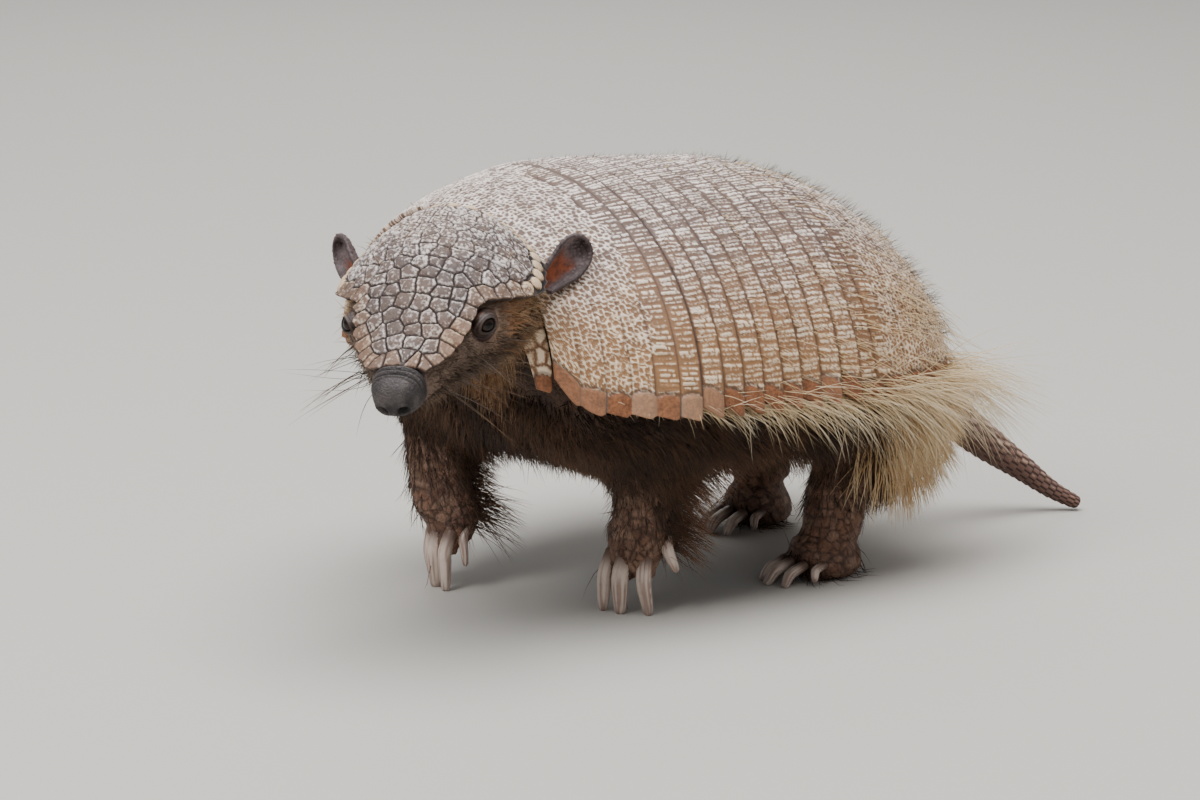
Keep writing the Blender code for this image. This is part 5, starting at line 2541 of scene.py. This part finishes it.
    def thigh(self) -> None:
        """The dense orange hair behind and over the hind legs."""
        points = self.roots.points
        y, z = points[:, 1], points[:, 2]
        behind = smoothstep(46, 78, y) * smoothstep(38, 54, z) * smoothstep(104, 92, z)
        flank = smoothstep(30, 45, np.abs(points[:, 0]))
        flank = np.maximum(flank, smoothstep(108, 112, y))
        pale = tint(246, 228, 190)
        look = HairFinish("thigh_hair", tint(184, 144, 98), pale, tint(220, 182, 132))
        kind = HairKind((16, 30), 0.45, 5, 0.35, 0.2, 0.3, 0.12)
        count = self.counts["thighs"]
        self.skin_coat("coat_thighs", count, behind * flank, kind, look, 106)

    def shell_roots(
        self, count: int, y_range: tuple[float, float], power: float, seed: int
    ) -> tuple[Array, Array, Array, Array]:
        """Roots along the rear edges of the bands and on the rump, thicker towards the rim.

        Args:
            count: how many.
            y_range: the first and last station.
            power: how strongly they gather at the rim.
            seed: for their places.

        Returns:
            The roots, the normals, the ways along the body, and t.
        """
        random = np.random.default_rng(seed)
        y = random.uniform(*y_range, count)
        first, pitch = Carapace.band_front, Carapace.band_pitch
        edge = first + pitch * np.ceil((y - first) / pitch)
        last = first + pitch * Carapace.band_count
        y = np.where(y < last, edge - 0.8, y)
        t = (1 - random.random(count) ** power) * np.where(random.random(count) < 0.5, -1, 1)
        points, normals = SHELL.bare(y, t), SHELL.normal(y, t)
        behind = SHELL.bare(np.minimum(y + 2.0, 121.0), t) - points
        down = np.cross(np.array((0.0, 1.0, 0.0)), normals) * np.sign(t)[:, None]
        down[:, 2] = -np.abs(down[:, 2])
        ways = unit(unit(behind) + down * (0.1 + 0.35 * np.abs(t))[:, None])
        return points + normals * 0.5, normals, ways, t

    def fringe(self) -> None:
        """The long pale hairs that hang from the rim of the bands and the rump."""
        pale = tint(248, 238, 212)
        look = HairFinish("fringe_hair", tint(206, 172, 122), pale, tint(226, 198, 152))
        random, count = np.random.default_rng(107), self.counts["fringe"]
        first, last = self.fringe_reach
        y = first + (last - first) * random.random(count) ** 0.85
        t = np.where(random.random(count) < 0.5, -1.0, 1.0) * (1 - 0.05 * random.random(count))
        points, normals = SHELL.bare(y, t), SHELL.normal(y, t)
        points[:, 2] += random.uniform(-1.0, 2.0, count)
        points -= normals * random.uniform(0.5, 4.0, count)[:, None]
        fall = -0.05 - 0.75 * random.random(count)
        ways = np.stack([0.1 * np.sign(t), np.full(count, 0.9), fall], axis=1)
        scale = smoothstep(-95, 10, y) * 0.72 + 0.28
        kind = HairKind((20, 58), 0.31, 8, 0.12, 0.22, 0.2, 0.22)
        self.piece("coat_fringe", kind, look, (points, normals, unit(ways)), 107, scale)

    def band_hair(self) -> None:
        """Long pale hairs that lie over the flanks of the bands and the rump."""
        pale = tint(246, 234, 206)
        look = HairFinish("band_hair", tint(200, 164, 114), pale, tint(226, 198, 152))
        points, normals, ways, t = self.shell_roots(self.counts["bands"], (-30, 117), 1.9, 108)
        kind = HairKind((14, 50), 0.3, 7, 0.14, 0.2, 0.14, 0.2)
        scale = 0.3 + 0.7 * smoothstep(0.25, 0.85, np.abs(t)) * smoothstep(-60, 30, points[:, 1])
        self.piece("coat_bands", kind, look, (points, normals, ways), 108, scale)

    def bristles(self) -> None:
        """Short dark bristles all over the back."""
        look = HairFinish("bristles", tint(44, 34, 30), tint(112, 92, 78), tint(70, 54, 46))
        random, count = np.random.default_rng(109), self.counts["bristles"]
        y = random.uniform(-104, 116, count)
        t = random.uniform(-0.8, 0.8, count)
        points, normals = SHELL.bare(y, t), SHELL.normal(y, t)
        ways = np.tile((0.0, 1.0, 0.0), (count, 1))
        kind = HairKind((2.5, 8.5), 0.2, 2, 0.6, 0.3, 0.05)
        self.piece("coat_bristles", kind, look, (points, normals, ways), 109)

    def whiskers(self) -> None:
        """The long stiff hairs of the muzzle and the cheeks."""
        random, count = np.random.default_rng(110), self.counts["whiskers"]
        side = np.where(np.arange(count) % 2 == 0, 1.0, -1.0)
        ahead = random.uniform(46, 80, count)
        half = np.interp(ahead, [40, 54, 66, 76, 84], [33, 27.5, 20.5, 14.5, 11.5])
        local = np.stack([side * half * 0.97, -ahead, random.uniform(-13, -4, count)], axis=1)
        ways = np.stack(
            [side * 0.8, random.uniform(-0.25, 0.45, count), random.uniform(-0.75, -0.1, count)],
            axis=1,
        )
        points = HEAD.to_body(local)
        normals = HEAD.way_to_body(np.stack([side, 0 * side, 0 * side], axis=1))
        kind = HairKind((16, 44), 0.32, 7, 0.2, 0.12, 0.12, 0.14)
        look = HairFinish("whiskers", tint(40, 30, 26), tint(120, 92, 64), tint(60, 46, 38))
        self.piece("whiskers", kind, look, (points, normals, HEAD.way_to_body(unit(ways))), 110)


# --- stage ---------------------------------------------------------------------------------


@dataclass
class Stage:
    """The floor, the lights and the camera."""

    azimuth: float = math.radians(52)
    elevation: float = math.radians(12)
    distance: float = 2.2
    lens: float = 161.7
    aim: tuple[float, float] = (-0.0249, 0.0690)  # the view's centre from the body's origin
    floor_radius: float = 14.0
    sky: Colour = tint(214, 216, 220)
    sky_strength: float = 0.56

    def floor(self) -> None:
        """A pale floor, far past the view."""
        mesh = bpy.data.meshes.new("floor")
        with edited(mesh) as bm:
            bmesh.ops.create_circle(bm, cap_ends=True, segments=64, radius=self.floor_radius)
        s = Shading("floor")
        mesh.materials.append(s.dress(tint(192, 188, 181), 0.9, specular=0.2))
        plane = linked("floor", mesh)

    def light(
        self, name: str, place: tuple[float, float, float], size: float, watts: float
    ) -> None:
        """An area light that looks at the animal.

        Args:
            name: its name.
            place: where it stands, in metres.
            size: its width in metres.
            watts: its power.
        """
        lamp = bpy.data.lights.new(name, "AREA")
        lamp.shape = "DISK"
        lamp.size = size
        lamp.energy = watts
        made = linked(name, lamp)
        made.location = place
        aim = Vector((0.0, -0.02, 0.09)) - Vector(place)
        made.rotation_euler = aim.to_track_quat("-Z", "Y").to_euler()

    def camera(self) -> None:
        """The camera, above the floor on the animal's left front."""
        sin_a, cos_a = math.sin(self.azimuth), math.cos(self.azimuth)
        sin_e, cos_e = math.sin(self.elevation), math.cos(self.elevation)
        right = Vector((cos_a, sin_a, 0))
        back = Vector((sin_a * cos_e, -cos_a * cos_e, sin_e))
        up = back.cross(right)
        body = bpy.data.cameras.new("camera")
        body.lens = self.lens
        body.sensor_width = 36.0
        body.clip_end = 60.0
        made = linked("camera", body)
        made.matrix_world = Matrix((right, up, back)).transposed().to_4x4()
        place = back * self.distance + right * self.aim[0] + up * self.aim[1]
        made.location = place - Vector(BODY_ORIGIN) * MM
        bpy.context.scene.camera = made

    def build(self) -> None:
        """Sets the stage."""
        self.floor()
        self.light("sky_light", (0.1, -0.1, 1.9), 2.0, 60.0)
        self.light("key_light", (0.3, -1.6, 1.5), 0.9, 21.0)
        self.light("rim_light", (-1.5, 0.9, 1.1), 0.9, 8.0)
        world = bpy.data.worlds.new("studio")
        world.use_nodes = True
        background = world.node_tree.nodes["Background"]
        background.inputs["Color"].default_value = self.sky
        background.inputs["Strength"].default_value = self.sky_strength
        bpy.context.scene.world = world
        self.camera()


def main() -> None:
    """Builds the animal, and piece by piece."""
    logging.basicConfig(level=logging.INFO, format="%(message)s")
    Carapace().build()
    skin = Skin().build()
    HeadPieces().build(skin)
    horn = Claws.finish()
    for foot in FEET:
        Claws(foot).build(horn)
    Tail().build()
    Coat(skin).build()
    Stage().build()


if __name__ == "__main__":
    main()
